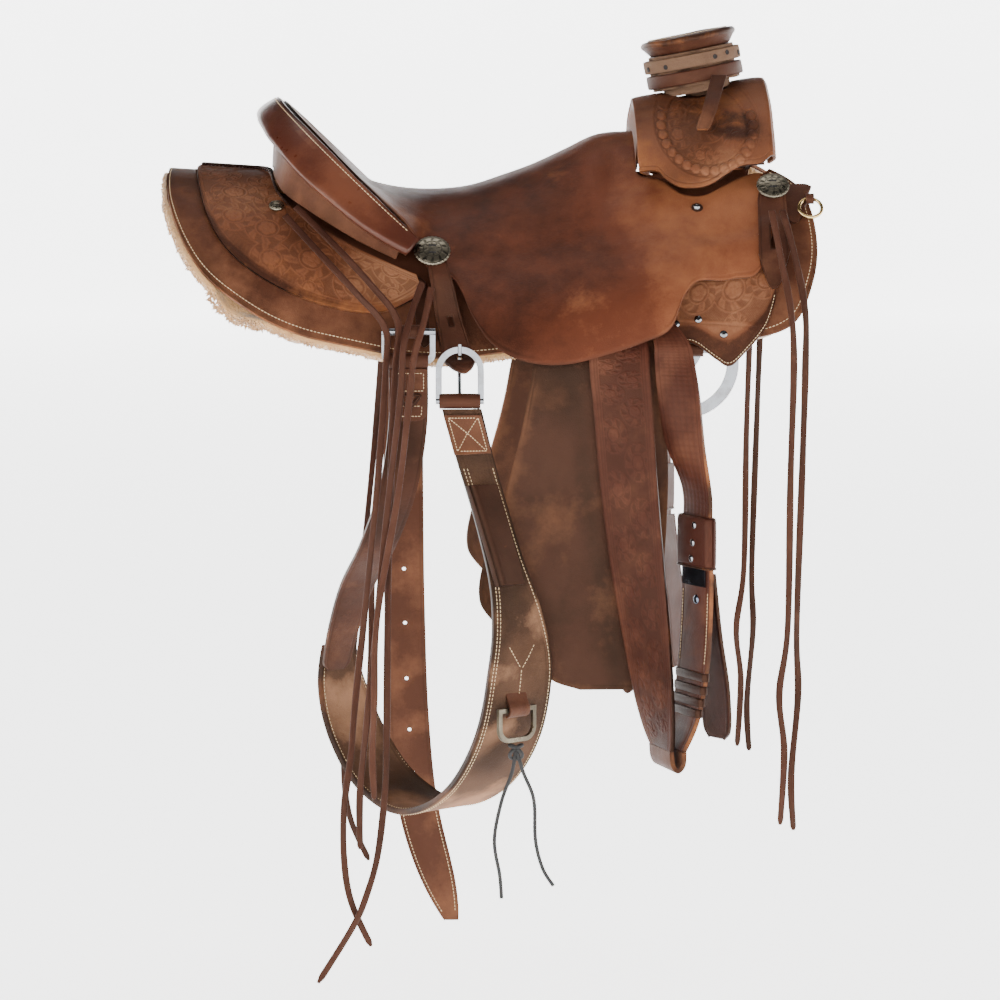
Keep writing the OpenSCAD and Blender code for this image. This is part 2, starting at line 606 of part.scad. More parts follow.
cinch_cord_route = [[-2, -292, -716], [-4, -292, -690], [-10, -292, -650], [-2, -292, -606], [10, -292, -572],
    [14, -292, -545], [22, -296, -572], [34, -294, -604], [36, -292, -650], [44, -292, -682], [56, -292, -702]];
front_a = [[304, -214, 50], [312, -236, 0], [322, -256, -60], [325, -264, -120], [322, -266, -247],
    [320, -267, -414], [311, -267, -491], [317, -267, -556], [313, -267, -639]];
front_b = [[316, -214, 50], [328, -236, 0], [338, -256, -60], [338, -264, -120], [335, -268, -232],
    [330, -268, -414], [332, -268, -491], [325, -268, -583], [328, -268, -645]];
jockey_a = [[-242, -146, 42], [-200, -188, -2], [-160, -220, -44], [-130, -238, -80], [-130, -244, -130],
    [-138, -248, -240], [-152, -250, -380], [-165, -252, -500], [-170, -252, -560], [-178, -252, -620],
    [-178, -252, -680], [-170, -252, -728], [-148, -252, -778]];
jockey_b = [[-230, -140, 52], [-188, -182, 12], [-146, -216, -32], [-116, -240, -72], [-119, -252, -122],
    [-124, -256, -240], [-128, -258, -380], [-130, -260, -540], [-132, -260, -600], [-140, -260, -670],
    [-152, -260, -715], [-168, -260, -753], [-208, -260, -818]];
concho_a = [[-88, -216, -30], [-100, -234, -62], [-110, -256, -100], [-113, -264, -150], [-126, -264, -260],
    [-140, -265, -400], [-152, -265, -520], [-160, -265, -600], [-160, -265, -664]];
concho_b = [[-78, -216, -36], [-86, -236, -70], [-98, -256, -110], [-104, -268, -160], [-116, -271, -260],
    [-140, -272, -400], [-144, -272, -500], [-146, -272, -560], [-144, -272, -606]];
string_t = 3.4;

module saddle_string(route, nu) { color(dark_leather) cord(route, string_w, string_t, nu); }

left() tree_bar();  // tree_bar_left
tree_bar();  // tree_bar_right
tree_fork();
horn_post();
tree_cantle();
ground_seat();
left() skirt();  // skirt_left
skirt();  // skirt_right
left() fleece();  // fleece_left
fleece();  // fleece_right
seat_leather();
fork_cover();
horn_wrap();
horn_cap();
horn_strap();
cantle_back();
cantle_roll();
left() rear_jockey();  // rear_jockey_left
rear_jockey();  // rear_jockey_right
left() rigging_plate();  // rigging_plate_left
rigging_plate();  // rigging_plate_right
rigging_rivets();
rigging_loops();
left() front_ring();  // front_ring_left
front_ring();  // front_ring_right
left() rear_ring();  // rear_ring_left
rear_ring();  // rear_ring_right
conchos();
latigo_keepers();
flank_keepers();
breast_tabs();
left() breast_dee();  // breast_dee_left
breast_dee();  // breast_dee_right
left() fender();  // fender_left
fender();  // fender_right
left() stirrup_leather();  // stirrup_leather_left
stirrup_leather();  // stirrup_leather_right
left() stirrup_buckle();  // stirrup_buckle_left
stirrup_buckle();  // stirrup_buckle_right
left() buckle_sleeve();  // buckle_sleeve_left
buckle_sleeve();  // buckle_sleeve_right
rear_billet_left();
rear_billet_right();
flank_cinch();
cinch_pocket();
flank_buckle();
buckle_tongue();
cinch_dee();
color(black) cord(cinch_cord_route, cord_d, cord_d, 34);  // cinch_cord
saddle_string(front_a, 26);  // front_string_right_a
saddle_string(front_b, 26);  // front_string_right_b
left() saddle_string(front_a, 26);  // front_string_left_a
left() saddle_string(front_b, 26);  // front_string_left_b
saddle_string(jockey_a, 32);  // jockey_string_right_a
saddle_string(jockey_b, 34);  // jockey_string_right_b
saddle_string(concho_a, 26);  // concho_string_right_a
saddle_string(concho_b, 24);  // concho_string_right_b
left() saddle_string(jockey_a, 32);  // jockey_string_left_a
left() saddle_string(concho_b, 24);  // concho_string_left_a
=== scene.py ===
"""Looks of the western saddle: every visible leather, metal and wool piece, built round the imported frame."""
import math

import bmesh
import bpy
import numpy as np
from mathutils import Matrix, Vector


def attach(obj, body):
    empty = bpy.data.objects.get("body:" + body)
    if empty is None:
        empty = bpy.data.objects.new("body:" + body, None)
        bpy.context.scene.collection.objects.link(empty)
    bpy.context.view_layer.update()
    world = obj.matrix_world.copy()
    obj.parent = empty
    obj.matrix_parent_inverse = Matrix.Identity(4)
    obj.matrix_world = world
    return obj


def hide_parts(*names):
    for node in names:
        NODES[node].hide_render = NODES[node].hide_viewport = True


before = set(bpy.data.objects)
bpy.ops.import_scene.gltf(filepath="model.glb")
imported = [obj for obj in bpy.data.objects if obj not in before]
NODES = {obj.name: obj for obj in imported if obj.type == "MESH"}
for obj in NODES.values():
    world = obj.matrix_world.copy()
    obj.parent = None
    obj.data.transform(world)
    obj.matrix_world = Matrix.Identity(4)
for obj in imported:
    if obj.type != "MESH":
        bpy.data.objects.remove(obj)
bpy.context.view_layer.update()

ROOT = "saddle"
SIDES = (("right", 1), ("left", -1))

# ---- camera ---------------------------------------------------------------------------------

camera = bpy.data.objects.new("camera", bpy.data.cameras.new("camera"))
bpy.context.scene.collection.objects.link(camera)
camera.data.sensor_width = 36
camera.data.lens = 153.86
camera.data.clip_end = 100
camera.location = (-0.171, -5.0, 0.251)
LOOK = Vector((0.0353, 0.9934, -0.1093))
camera.rotation_mode = "QUATERNION"
camera.rotation_quaternion = LOOK.to_track_quat("-Z", "Y")
bpy.context.scene.camera = camera

# ---- curves and surfaces, in millimetres ------------------------------------------------------


def mix(a, b, t):
    return a + (b - a) * t


def ease(t):
    t = np.clip(t, 0, 1)
    return t * t * (3 - 2 * t)


def bump(x, centre, width):
    return np.exp(-(((x - centre) / width) ** 2))


def unit(v):
    return v / np.maximum(np.linalg.norm(v, axis=-1, keepdims=True), 1e-9)


def sin(a):
    return np.sin(np.radians(a))


def cos(a):
    return np.cos(np.radians(a))


def curve(p, x):
    """Smooth single-valued curve through [x, value] pairs in order of x."""
    X, Y = np.array(p, float).T
    n = len(X) - 1
    k = np.arange(n + 1)
    a, b = np.maximum(k - 1, 0), np.minimum(k + 1, n)
    slope = (Y[b] - Y[a]) / (X[b] - X[a])
    x = np.clip(np.asarray(x, float), X[0], X[-1])
    i = np.clip(np.searchsorted(X, x, side="right") - 1, 0, n - 1)
    d = X[i + 1] - X[i]
    t = (x - X[i]) / d
    return ((2 * t**3 - 3 * t**2 + 1) * Y[i] + (t**3 - 2 * t**2 + t) * slope[i] * d
            + (3 * t**2 - 2 * t**3) * Y[i + 1] + (t**3 - t**2) * slope[i + 1] * d)


def path(p, u):
    """Smooth open path through a list of points, at u from 0 to 1."""
    p = np.array(p, float)
    n = len(p) - 1
    s = np.clip(np.asarray(u, float), 0, 1) * n
    i = np.minimum(n - 1, np.floor(s).astype(int))
    t = (s - i)[..., None]
    a, b, c, d = p[np.maximum(0, i - 1)], p[i], p[i + 1], p[np.minimum(n, i + 2)]
    return (b + t / 2 * (c - a) + t**2 * (a - 2.5 * b + 2 * c - d / 2)
            + t**3 * (1.5 * b - a / 2 - 1.5 * c + d / 2))


REAR_HALF, FRONT_HALF, SKIRT_T, SEAT_T, FLEECE_T = 250, 246, 4.5, 4.5, 11
TOP_LINE = [[-385, 88], [-200, 74], [-75, 54], [60, 64], [180, 96], [300, 121], [360, 126]]
HALF_LINE = [[-385, REAR_HALF], [0, REAR_HALF - 2], [150, FRONT_HALF], [360, FRONT_HALF]]
DEEP_LINE = [[-385, 360], [-100, 345], [100, 335], [360, 340]]


def side(x, phi, h):
    """The surface that every layer of the right side follows: phi down from the centre line, h outward."""
    a, b = curve(HALF_LINE, x), curve(DEEP_LINE, x)
    return np.stack([x + 0 * phi, -(a + h) * sin(phi), curve(TOP_LINE, x) - b + (b + h) * cos(phi)], -1)


def layer(upper, lower, height):
    """Surface between two outlines of [x, phi] points, at height(x, phi, v)."""
    def surface(u, v):
        p = mix(path(upper, u), path(lower, u), np.asarray(v)[..., None])
        phi = np.maximum(0.6, p[..., 1])
        return side(p[..., 0], phi, height(p[..., 0], phi, v))
    return surface


def frame_of(surface, u, v):
    """Points, and unit vectors along u, along v and across them."""
    e = 1e-3
    u0, u1, v0, v1 = np.clip(u - e, 0, 1), np.clip(u + e, 0, 1), np.clip(v - e, 0, 1), np.clip(v + e, 0, 1)
    du, dv = surface(u1, v) - surface(u0, v), surface(u, v1) - surface(u, v0)
    return surface(u, v), unit(du), unit(dv), unit(np.cross(du, dv))


def lumps(P, size, seed, n=9):
    """Smooth pseudo-random value, about -1 to 1, with bumps of that size in mm."""
    r = np.random.default_rng(seed)
    k, phase = r.normal(size=(n, 3)), r.random(n) * 6.28
    k = k / np.linalg.norm(k, axis=1)[:, None] * (6.28 / size / 2) * r.uniform(0.6, 1.5, n)[:, None]
    return np.sin(np.tensordot(P, k.T, 1) + phase).sum(-1) / math.sqrt(n)


# ---- materials ---------------------------------------------------------------------------------


class Graph:
    """A node material that is written as nested calls."""

    def __init__(self, name):
        self.mat = bpy.data.materials.new(name)
        self.mat.use_nodes = True
        self.tree = self.mat.node_tree
        self.shader = self.tree.nodes["Principled BSDF"]
        self.place = self.node("ShaderNodeTexCoord").outputs["Object"]

    def node(self, kind, inputs=(), **props):
        n = self.tree.nodes.new(kind)
        for k, v in props.items():
            setattr(n, k, v)
        for k, v in dict(inputs).items():
            self.put(n.inputs[k], v)
        return n

    def put(self, socket, value):
        if isinstance(value, bpy.types.NodeSocket):
            self.tree.links.new(value, socket)
        elif hasattr(socket.default_value, "__len__") and not hasattr(value, "__len__"):
            socket.default_value = (value,) * len(socket.default_value)
        elif hasattr(value, "__len__") and len(value) == 3 and len(socket.default_value) == 4:
            socket.default_value = (*value, 1)
        else:
            socket.default_value = value

    def noise(self, scale, detail=3.0, rough=0.55, stretch=None, warp=0.0):
        place = self.place
        if stretch:
            place = self.node("ShaderNodeMapping", {0: place, "Scale": stretch}).outputs[0]
        return self.node("ShaderNodeTexNoise", {"Vector": place, "Scale": scale, "Detail": detail,
                                                "Roughness": rough, "Distortion": warp}).outputs[0]

    def cells(self, scale, feature="F1"):
        n = self.node("ShaderNodeTexVoronoi", {"Vector": self.place, "Scale": scale}, feature=feature)
        return n.outputs["Distance"]

    def attr(self, name):
        return self.node("ShaderNodeAttribute", attribute_name=name).outputs["Fac"]

    def math(self, op, a, b=0.0, c=0.0, clamp=False):
        return self.node("ShaderNodeMath", {0: a, 1: b, 2: c}, operation=op, use_clamp=clamp).outputs[0]

    def ramp(self, value, stops, smooth=True):
        n = self.node("ShaderNodeValToRGB", {0: value})
        n.color_ramp.interpolation = "EASE" if smooth else "LINEAR"
        e = n.color_ramp.elements
        while len(e) < len(stops):
            e.new(0.5)
        for k, (at, colour) in enumerate(stops):
            e[k].position = at
            e[k].color = (*colour, 1) if hasattr(colour, "__len__") else (colour,) * 3 + (1,)
        return n.outputs[0]

    def between(self, value, low, high):
        return self.node("ShaderNodeMapRange", {0: value, 1: low, 2: high}, clamp=True).outputs[0]

    def mixed(self, share, a, b, blend="MIX"):
        n = self.node("ShaderNodeMix", data_type="RGBA", blend_type=blend, clamp_factor=True)
        self.put(n.inputs["Factor"], share)
        self.put(n.inputs[6], a)
        self.put(n.inputs[7], b)
        return n.outputs[2]

    def bumped(self, height, strength, distance, under=None):
        n = self.node("ShaderNodeBump", {"Height": height, "Strength": strength, "Distance": distance})
        if under is not None:
            self.put(n.inputs["Normal"], under)
        return n.outputs[0]

    def finish(self, colour, rough, normal=None, **constants):
        self.put(self.shader.inputs["Base Color"], colour)
        self.put(self.shader.inputs["Roughness"], rough)
        if normal is not None:
            self.put(self.shader.inputs["Normal"], normal)
        for k, v in constants.items():
            self.put(self.shader.inputs[k.replace("_", " ")], v)
        return self.mat


def srgb(r, g, b):
    return tuple((c / 255 / 12.92) if c / 255 <= 0.04045 else ((c / 255 + 0.055) / 1.055) ** 2.4 for c in (r, g, b))


LEATHER_SHADE = 0.68


def leather_material(name, dark, mid, light, worn=(150, 92, 56), grain=0.35, gloss=(0.42, 0.68), patch=9.0,
                     scratch=0.25, coat=0.0, groove_shade=0.72):
    """tone moves the colour from dark (-1) to light (1), and in a few places carries painted shade and a painted
    highlight; wear shows the raw hide; cut is the depth of the relief, and the colour darkens with it: painted shade in
    tooled grooves, creases and low spots.
    """
    g = Graph(name)
    dark, mid, light, worn = (tuple(LEATHER_SHADE * c for c in srgb(*k)) for k in (dark, mid, light, worn))
    big, small, fine = g.noise(patch, 4, 0.6, warp=0.4), g.noise(46, 5, 0.65), g.noise(420, 3, 0.6)
    tone = g.math("MULTIPLY_ADD", g.attr("tone"), 0.5, g.math("MULTIPLY_ADD", big, 0.55, 0.03))
    tone = g.math("ADD", tone, g.math("MULTIPLY_ADD", small, 0.34, 0.02))
    tone = g.math("ADD", tone, g.math("MULTIPLY_ADD", fine, 0.16, -0.08))
    colour = g.ramp(tone, [(0.12, dark), (0.5, mid), (0.9, light)])
    spots = g.between(g.math("ADD", g.noise(24, 5, 0.7), g.math("MULTIPLY", g.attr("wear"), 0.62)), 0.62, 1.0)
    colour = g.mixed(spots, colour, worn)
    lines = g.noise(34, 2, 0.5, stretch=(9, 9, 0.9), warp=1.4)
    thin = g.between(g.math("ABSOLUTE", g.math("SUBTRACT", lines, 0.5)), 0.0, 0.008)
    thin = g.math("MULTIPLY", g.math("SUBTRACT", 1.0, thin), g.between(g.noise(7, 2), 0.5, 0.62))
    colour = g.mixed(g.math("MULTIPLY", thin, scratch), colour, worn)
    # painted shade: the deeper a hollow of the relief, the darker its colour
    hollow_shade = g.math("MULTIPLY", g.attr("cut"), groove_shade, clamp=True)
    colour = g.mixed(hollow_shade, colour, tuple(c * 0.35 for c in dark))
    pores = g.cells(560, "DISTANCE_TO_EDGE")
    height = g.math("ADD", g.math("MULTIPLY", g.between(pores, 0.0, 0.25), 0.5), g.math("MULTIPLY", fine, 0.6))
    height = g.math("ADD", height, g.math("MULTIPLY", g.noise(120, 4, 0.6), 0.8))
    normal = g.bumped(height, grain, 0.0006)
    normal = g.bumped(g.noise(16, 4, 0.55, warp=0.6), 0.16, 0.006, normal)
    rough = g.math("ADD", g.between(g.noise(30, 4, 0.6), 0.25, 0.8), g.math("MULTIPLY", spots, 0.7))
    rough = g.node("ShaderNodeMapRange", {0: rough, 1: 0.0, 2: 1.2, 3: gloss[0], 4: gloss[1]}).outputs[0]
    return g.finish(colour, rough, normal, Specular_IOR_Level=0.2, Coat_Weight=coat, Coat_Roughness=0.22,
                    Specular_Tint=(1.0, 0.6, 0.42))


def steel_material(name, colour, rough=(0.16, 0.34), tarnish=(90, 84, 74), stain=0.25, metallic=1.0):
    g = Graph(name)
    haze = g.between(g.noise(38, 5, 0.65), 0.45, 0.75)
    shade = g.mixed(g.math("MULTIPLY", haze, stain), srgb(*colour), srgb(*tarnish))
    shade = g.mixed(g.attr("cut"), shade, srgb(*[c * 0.22 for c in tarnish]))
    streak = g.noise(160, 4, 0.6, stretch=(1, 6, 6))
    roughness = g.node("ShaderNodeMapRange", {0: g.math("ADD", streak, haze), 1: 0.4, 2: 1.4,
                                              3: rough[0], 4: rough[1]}).outputs[0]
    return g.finish(shade, roughness, g.bumped(g.noise(240, 4), 0.08, 0.0004), Metallic=metallic)


def plain_material(name, colours, scale, rough, strength=0.4, distance=0.0006, **constants):
    g = Graph(name)
    grain = g.math("ADD", g.math("MULTIPLY", g.noise(scale, 5, 0.65), 0.7),
                   g.math("MULTIPLY", g.noise(scale * 7, 3), 0.3))
    stops = [(0.25 + 0.5 * k / (len(colours) - 1), srgb(*c)) for k, c in enumerate(colours)]
    return g.finish(g.ramp(grain, stops), rough, g.bumped(g.noise(scale * 5, 4), strength, distance), **constants)


M = {
    "seat": leather_material("seat_hide", (50, 25, 18), (92, 48, 32), (128, 76, 50), worn=(140, 86, 56), grain=0.3,
                             gloss=(0.38, 0.6), scratch=0.3),
    "skirt": leather_material("skirt_hide", (44, 24, 17), (76, 44, 31), (106, 67, 47), worn=(114, 73, 51), grain=0.4),
    "tooled": leather_material("tooled_hide", (56, 31, 22), (112, 68, 46), (152, 103, 74), grain=0.3,
                               gloss=(0.42, 0.62), groove_shade=0.5),
    "red_tooled": leather_material("stirrup_leather_hide", (29, 14, 11), (60, 29, 22), (86, 47, 35), worn=(94, 56, 41),
                                   grain=0.3, gloss=(0.4, 0.6), groove_shade=0.5),
    "fender": leather_material("fender_hide", (35, 22, 16), (54, 33, 25), (74, 47, 34), worn=(92, 60, 42), grain=0.45,
                               patch=11.0, gloss=(0.42, 0.66)),
    "strap": leather_material("strap_hide", (36, 21, 16), (66, 38, 28), (96, 61, 44), worn=(108, 70, 50), grain=0.35),
    "roll": leather_material("roll_hide", (38, 18, 13), (74, 37, 26), (104, 60, 42), worn=(112, 70, 50), grain=0.22,
                             gloss=(0.24, 0.44), coat=0.35),
    "cinch": leather_material("cinch_hide", (52, 38, 30), (86, 62, 47), (130, 96, 72), worn=(156, 116, 89), grain=0.7,
                              gloss=(0.7, 0.9), patch=13.0),
    "rough": leather_material("rough_hide", (68, 50, 40), (112, 86, 68), (160, 128, 100), worn=(182, 142, 112),
                              grain=0.7, gloss=(0.7, 0.9), patch=11.0),
    "string": leather_material("string_hide", (36, 19, 15), (60, 34, 26), (84, 52, 40), worn=(96, 62, 48), grain=0.4),
    "edge": leather_material("burnished_edge", (24, 13, 10), (44, 25, 18), (74, 46, 33), grain=0.2, gloss=(0.35, 0.5)),
    "steel": steel_material("bright_steel", (132, 134, 138), (0.1, 0.26), stain=0.6),
    "dark_steel": steel_material("blued_steel", (92, 100, 114), (0.16, 0.34)),
    "silver": steel_material("antiqued_silver", (128, 120, 104), (0.25, 0.5), (52, 46, 38), 0.7),
    "brass": steel_material("pale_brass", (206, 176, 122), (0.16, 0.3), (130, 100, 56), 0.3),
    "thread": plain_material("cream_thread", [(168, 138, 100), (206, 182, 146)], 300, 0.8),
    "wool": plain_material("sheepskin", [(142, 100, 58), (182, 138, 88), (206, 168, 118)], 60, 0.95, 0.8, 0.003,
                           Sheen_Weight=0.5),
    "rawhide": plain_material("rawhide", [(176, 150, 104), (208, 186, 142)], 30, 0.5),
    "cord": plain_material("black_cord", [(14, 13, 13), (34, 32, 31)], 400, 0.75),
    # for dark discs and plates laid where holes and slots open: painted shade inside the openings
    "hole": plain_material("painted_hole_shade", [(12, 8, 7), (22, 15, 12)], 80, 0.9),
    "floor": plain_material("pale_floor", [(250, 250, 250), (255, 255, 255)], 3, 0.7, 0.02, Emission_Color=(1, 1, 1, 1),
                            Emission_Strength=3.0, Specular_IOR_Level=0.1),
}

# ---- mesh building -----------------------------------------------------------------------------


def add_mesh(name, points, faces, materials, body=ROOT, node=(), slot=None, attrs=None, face_mats=None, mirror=1):
    """A smooth-shaded mesh of points in mm, riding on a body and standing for CAD nodes; mirror -1 is the left side."""
    me = bpy.data.meshes.new(name)
    P = np.asarray(points, float).reshape(-1, 3) * [1, mirror, 1]
    me.from_pydata((P / 1000).tolist(), [], [list(map(int, f))[::mirror] for f in faces])
    for m in materials if isinstance(materials, (list, tuple)) else [materials]:
        me.materials.append(M[m])
    for key in ("tone", "wear", "cut"):
        a = me.attributes.new(key, "FLOAT", "POINT")
        a.data.foreach_set("value", np.broadcast_to(np.asarray((attrs or {}).get(key, 0.0), np.float32).ravel(),
                                                   len(me.vertices)).astype(np.float32))
    if face_mats is not None:
        me.polygons.foreach_set("material_index", np.asarray(face_mats, np.int32))
    me.polygons.foreach_set("use_smooth", [True] * len(me.polygons))
    me.validate()
    o = bpy.data.objects.new(name, me)
    bpy.context.scene.collection.objects.link(o)
    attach(o, body)
    if node:
        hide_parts(*([node] if isinstance(node, str) else node))
    return o


def quads(nu, nv, loop=False, flip=False, keep=None):
    """Faces of a grid of (nu + 1) by (nv + 1) points, or by nv points where it closes on itself."""
    w = nv if loop else nv + 1
    i, j = np.meshgrid(np.arange(nu), np.arange(nv), indexing="ij")
    if keep is not None:
        i, j = i[keep], j[keep]
    i, j = i.ravel(), j.ravel()
    k = (j + 1) % w
    f = np.stack([i * w + j, (i + 1) * w + j, (i + 1) * w + k, i * w + k], 1)
    return f[:, ::-1] if flip else f


def hide(name, surface, us, vs, t, material, body=ROOT, node=(), slot=None, mirror=1, outward=1, holes=(), keep=None,
         relief=None, tone=0.0, wear=0.0, round_by=1.1, rim="edge"):
    """Leather of thickness t under surface(u, v), which is its outer face. relief, tone and wear are functions of
    (u, v, points); holes are (u, v, radius across u, radius across v) and get a round edge."""
    us, vs = np.asarray(us, float), np.asarray(vs, float)
    U, V = np.meshgrid(us, vs, indexing="ij")
    keep = np.ones((len(us) - 1, len(vs) - 1), bool) if keep is None else keep.copy()
    for hu, hv, ru, rv in holes:
        a, b = int(np.abs(us - hu).argmin()), int(np.abs(vs - hv).argmin())
        P = surface(U[a - 1:a + 2, b - 1:b + 2], V[a - 1:a + 2, b - 1:b + 2])
        su = np.linalg.norm(P[2, 1] - P[0, 1]) / (us[a + 1] - us[a - 1])
        sv = np.linalg.norm(P[1, 2] - P[1, 0]) / (vs[b + 1] - vs[b - 1])
        keep[a - 1:a + 1, b - 1:b + 1] = False
        for i in (-1, 0, 1):
            for j in (-1, 0, 1):
                if i or j:
                    d = math.hypot(i, j)
                    U[a + i, b + j], V[a + i, b + j] = hu + i / d * ru / su, hv + j / d * rv / sv
    P, _, _, N = frame_of(surface, U, V)
    N = N * outward
    h = np.zeros(U.shape) if relief is None else relief(U, V, P)
    P = P + N * h[..., None]
    # cut, the depth of the relief, lets the leather materials paint shade into its hollows
    attrs = {"tone": tone(U, V, P) if callable(tone) else tone, "wear": wear(U, V, P) if callable(wear) else wear,
             "cut": np.clip(-h / 0.6, 0, 1) if relief is not None else 0.0}
    o = add_mesh(name, P * [1, mirror, 1], quads(len(us) - 1, len(vs) - 1, flip=(outward * mirror < 0), keep=keep),
                 [material, rim], body, node, slot, attrs)
    bm = bmesh.new()
    bm.from_mesh(o.data)
    bmesh.ops.delete(bm, geom=[v for v in bm.verts if not v.link_faces], context="VERTS")
    bm.to_mesh(o.data)
    bm.free()
    s = o.modifiers.new("thickness", "SOLIDIFY")
    s.thickness, s.offset, s.use_rim, s.material_offset_rim = t / 1000, -1, True, 1
    if round_by:
        b = o.modifiers.new("edge", "BEVEL")
        b.width, b.segments, b.limit_method, b.angle_limit = round_by / 1000, 2, "ANGLE", math.radians(50)
        b.harden_normals = False
    return o


def outward_faces(o):
    bm = bmesh.new()
    bm.from_mesh(o.data)
    bmesh.ops.recalc_face_normals(bm, faces=bm.faces)
    bm.to_mesh(o.data)
    bm.free()
    return o


def tube(name, centre, section, sides, material, body=ROOT, node=(), slot=None, mirror=1, turn=None, ends=True,
         attrs=None):
    """Closed tube along centre points; section(u, angle) gives its (across, out) offsets in mm."""
    C = np.asarray(centre, float)
    n = len(C) - 1
    T = unit(np.gradient(C, axis=0))
    ref = np.array([0.0, 1.0, 0.0]) if turn is None else np.asarray(turn, float)
    A = unit(np.cross(T, np.broadcast_to(ref, T.shape)))
    O = unit(np.cross(A, T))
    u = np.linspace(0, 1, n + 1)[:, None]
    ang = np.arange(sides)[None, :] * 360 / sides
    a, o = section(u, ang)
    P = C[:, None] + A[:, None] * (a + 0 * ang)[..., None] + O[:, None] * (o + 0 * ang)[..., None]
    F = [list(f) for f in quads(n, sides, loop=True)]
    if ends:
        F += [list(range(sides))[::-1], [n * sides + k for k in range(sides)]]
    return outward_faces(add_mesh(name, P * [1, mirror, 1], F, material, body, node, slot, attrs))


def spin(profile, n, wave=None):
    """Points and faces of a turned shape about Z; wave(r, angle, z) moves z. The first profile point is on the axis."""
    prof = np.array(profile, float)
    ang = np.arange(n) * 360 / n
    R, A = np.meshgrid(prof[:, 0], ang, indexing="ij")
    Z = np.repeat(prof[:, 1:], n, 1)
    if wave is not None:
        R, Z = wave(R, A, Z)
    P = np.stack([R * cos(A), R * sin(A), Z], -1)
    return P.reshape(-1, 3), quads(len(prof) - 1, n, loop=True), R, A


SEWN = {}


def sew(key, P, N, pitch=4.3, length=3.1, r=0.5, lift=0.15, mirror=1):
    """Adds a row of thread stitches along points P with surface normals N to the pile called key."""
    P, N = np.asarray(P, float), np.asarray(N, float)
    along = np.concatenate([[0], np.cumsum(np.linalg.norm(np.diff(P, axis=0), axis=1))])
    at = np.arange(pitch / 2, along[-1] - pitch / 2, pitch)
    if len(at) < 1:
        return

    def pick(X, s):
        return np.stack([np.interp(s, along, X[:, k]) for k in range(3)], -1)

    C, D, n = pick(P, at), unit(pick(P, at + 0.6) - pick(P, at - 0.6)), unit(pick(N, at))
    B = unit(np.cross(D, n))
    rings = [(-length / 2, 0.45, -0.35), (-length / 4, 1.0, 0.15), (length / 4, 1.0, 0.15), (length / 2, 0.45, -0.35)]
    sides = 5
    pts = np.stack([C + D * a + n * (lift + r * up) + (B * math.cos(q) + n * math.sin(q)) * r * k
                    for a, k, up in rings for q in np.arange(sides) * 2 * math.pi / sides], 1)
    F = quads(3, sides, loop=True)
    F = np.concatenate([F + 4 * sides * k for k in range(len(C))])
    SEWN.setdefault(key, []).append((pts.reshape(-1, 3) * [1, mirror, 1], F[:, ::-1] if mirror < 0 else F))


def sew_on(key, surface, us, vs, outward=1, mirror=1, **how):
    P, _, _, N = frame_of(surface, np.asarray(us, float), np.asarray(vs, float))
    sew(key, P, N * outward, mirror=mirror, **how)


def inset(surface, us, edge, d):
    """The v at d mm inside the v = edge side, for each u."""
    us = np.asarray(us, float)
    e = np.full(us.shape, float(edge))
    step = 0.02 if edge == 0 else -0.02
    w = np.linalg.norm(surface(us, e + step) - surface(us, e), axis=-1) / 0.02
    return e + np.sign(step) * d / np.maximum(w, 1e-6)


def finish_sewing():
    for key, parts in SEWN.items():
        body, name = key
        shift, P, F = 0, [], []
        for p, f in parts:
            P.append(p)
            F.append(f + shift)
            shift += len(p)
        add_mesh(name, np.concatenate(P), np.concatenate(F), "thread", body)


# ---- strings and cord ----------------------------------------------------------------------------

FRONT_A = [[304, -214, 50], [312, -236, 0], [322, -256, -60], [325, -264, -120], [322, -266, -247],
           [320, -267, -414], [311, -267, -491], [317, -267, -556], [313, -267, -639]]
FRONT_B = [[316, -214, 50], [328, -236, 0], [338, -256, -60], [338, -264, -120], [335, -268, -232],
           [330, -268, -414], [332, -268, -491], [325, -268, -583], [328, -268, -645]]
JOCKEY_A = [[-242, -146, 42], [-200, -188, -2], [-160, -220, -44], [-130, -238, -80], [-130, -244, -130],
            [-138, -248, -240], [-152, -250, -380], [-165, -252, -500], [-170, -252, -560], [-178, -252, -620],
            [-178, -252, -680], [-170, -252, -728], [-148, -252, -778]]
JOCKEY_B = [[-230, -140, 52], [-188, -182, 12], [-146, -216, -32], [-116, -240, -72], [-119, -252, -122],
            [-124, -256, -240], [-128, -258, -380], [-130, -260, -540], [-132, -260, -600], [-140, -260, -670],
            [-152, -260, -715], [-168, -260, -753], [-208, -260, -818]]
CONCHO_A = [[-88, -216, -30], [-100, -234, -62], [-110, -256, -100], [-113, -264, -150], [-126, -264, -260],
            [-140, -265, -400], [-152, -265, -520], [-160, -265, -600], [-160, -265, -664]]
CONCHO_B = [[-78, -216, -36], [-86, -236, -70], [-98, -256, -110], [-104, -268, -160], [-116, -271, -260],
            [-140, -272, -400], [-144, -272, -500], [-146, -272, -560], [-144, -272, -606]]
CINCH_CORD = [[-2, -292, -716], [-4, -292, -690], [-10, -292, -650], [-2, -292, -606], [10, -292, -572],
              [14, -292, -545], [22, -296, -572], [34, -294, -604], [36, -292, -650], [44, -292, -682],
              [56, -292, -702]]
STRING_W = 8
ROUTES = {"front_string_{}_a": (FRONT_A, 0.1), "front_string_{}_b": (FRONT_B, -0.3),
          "jockey_string_{}_a": (JOCKEY_A, -0.1), "jockey_string_{}_b": (JOCKEY_B, -0.2),
          "concho_string_{}_a": (CONCHO_A, -0.1), "concho_string_{}_b": (CONCHO_B, 0.3)}
LEFT = {"front_string_left_a": "front_string_{}_a", "front_string_left_b": "front_string_{}_b",
        "jockey_string_left_a": "jockey_string_{}_a", "concho_string_left_a": "concho_string_{}_b"}


def declare(P):
    long = float(np.linalg.norm(np.diff(P, axis=0), axis=1).sum())
    [float(c) / 1000 for c in P[0]]
    [[float(c) / 1000 for c in p] for p in P]


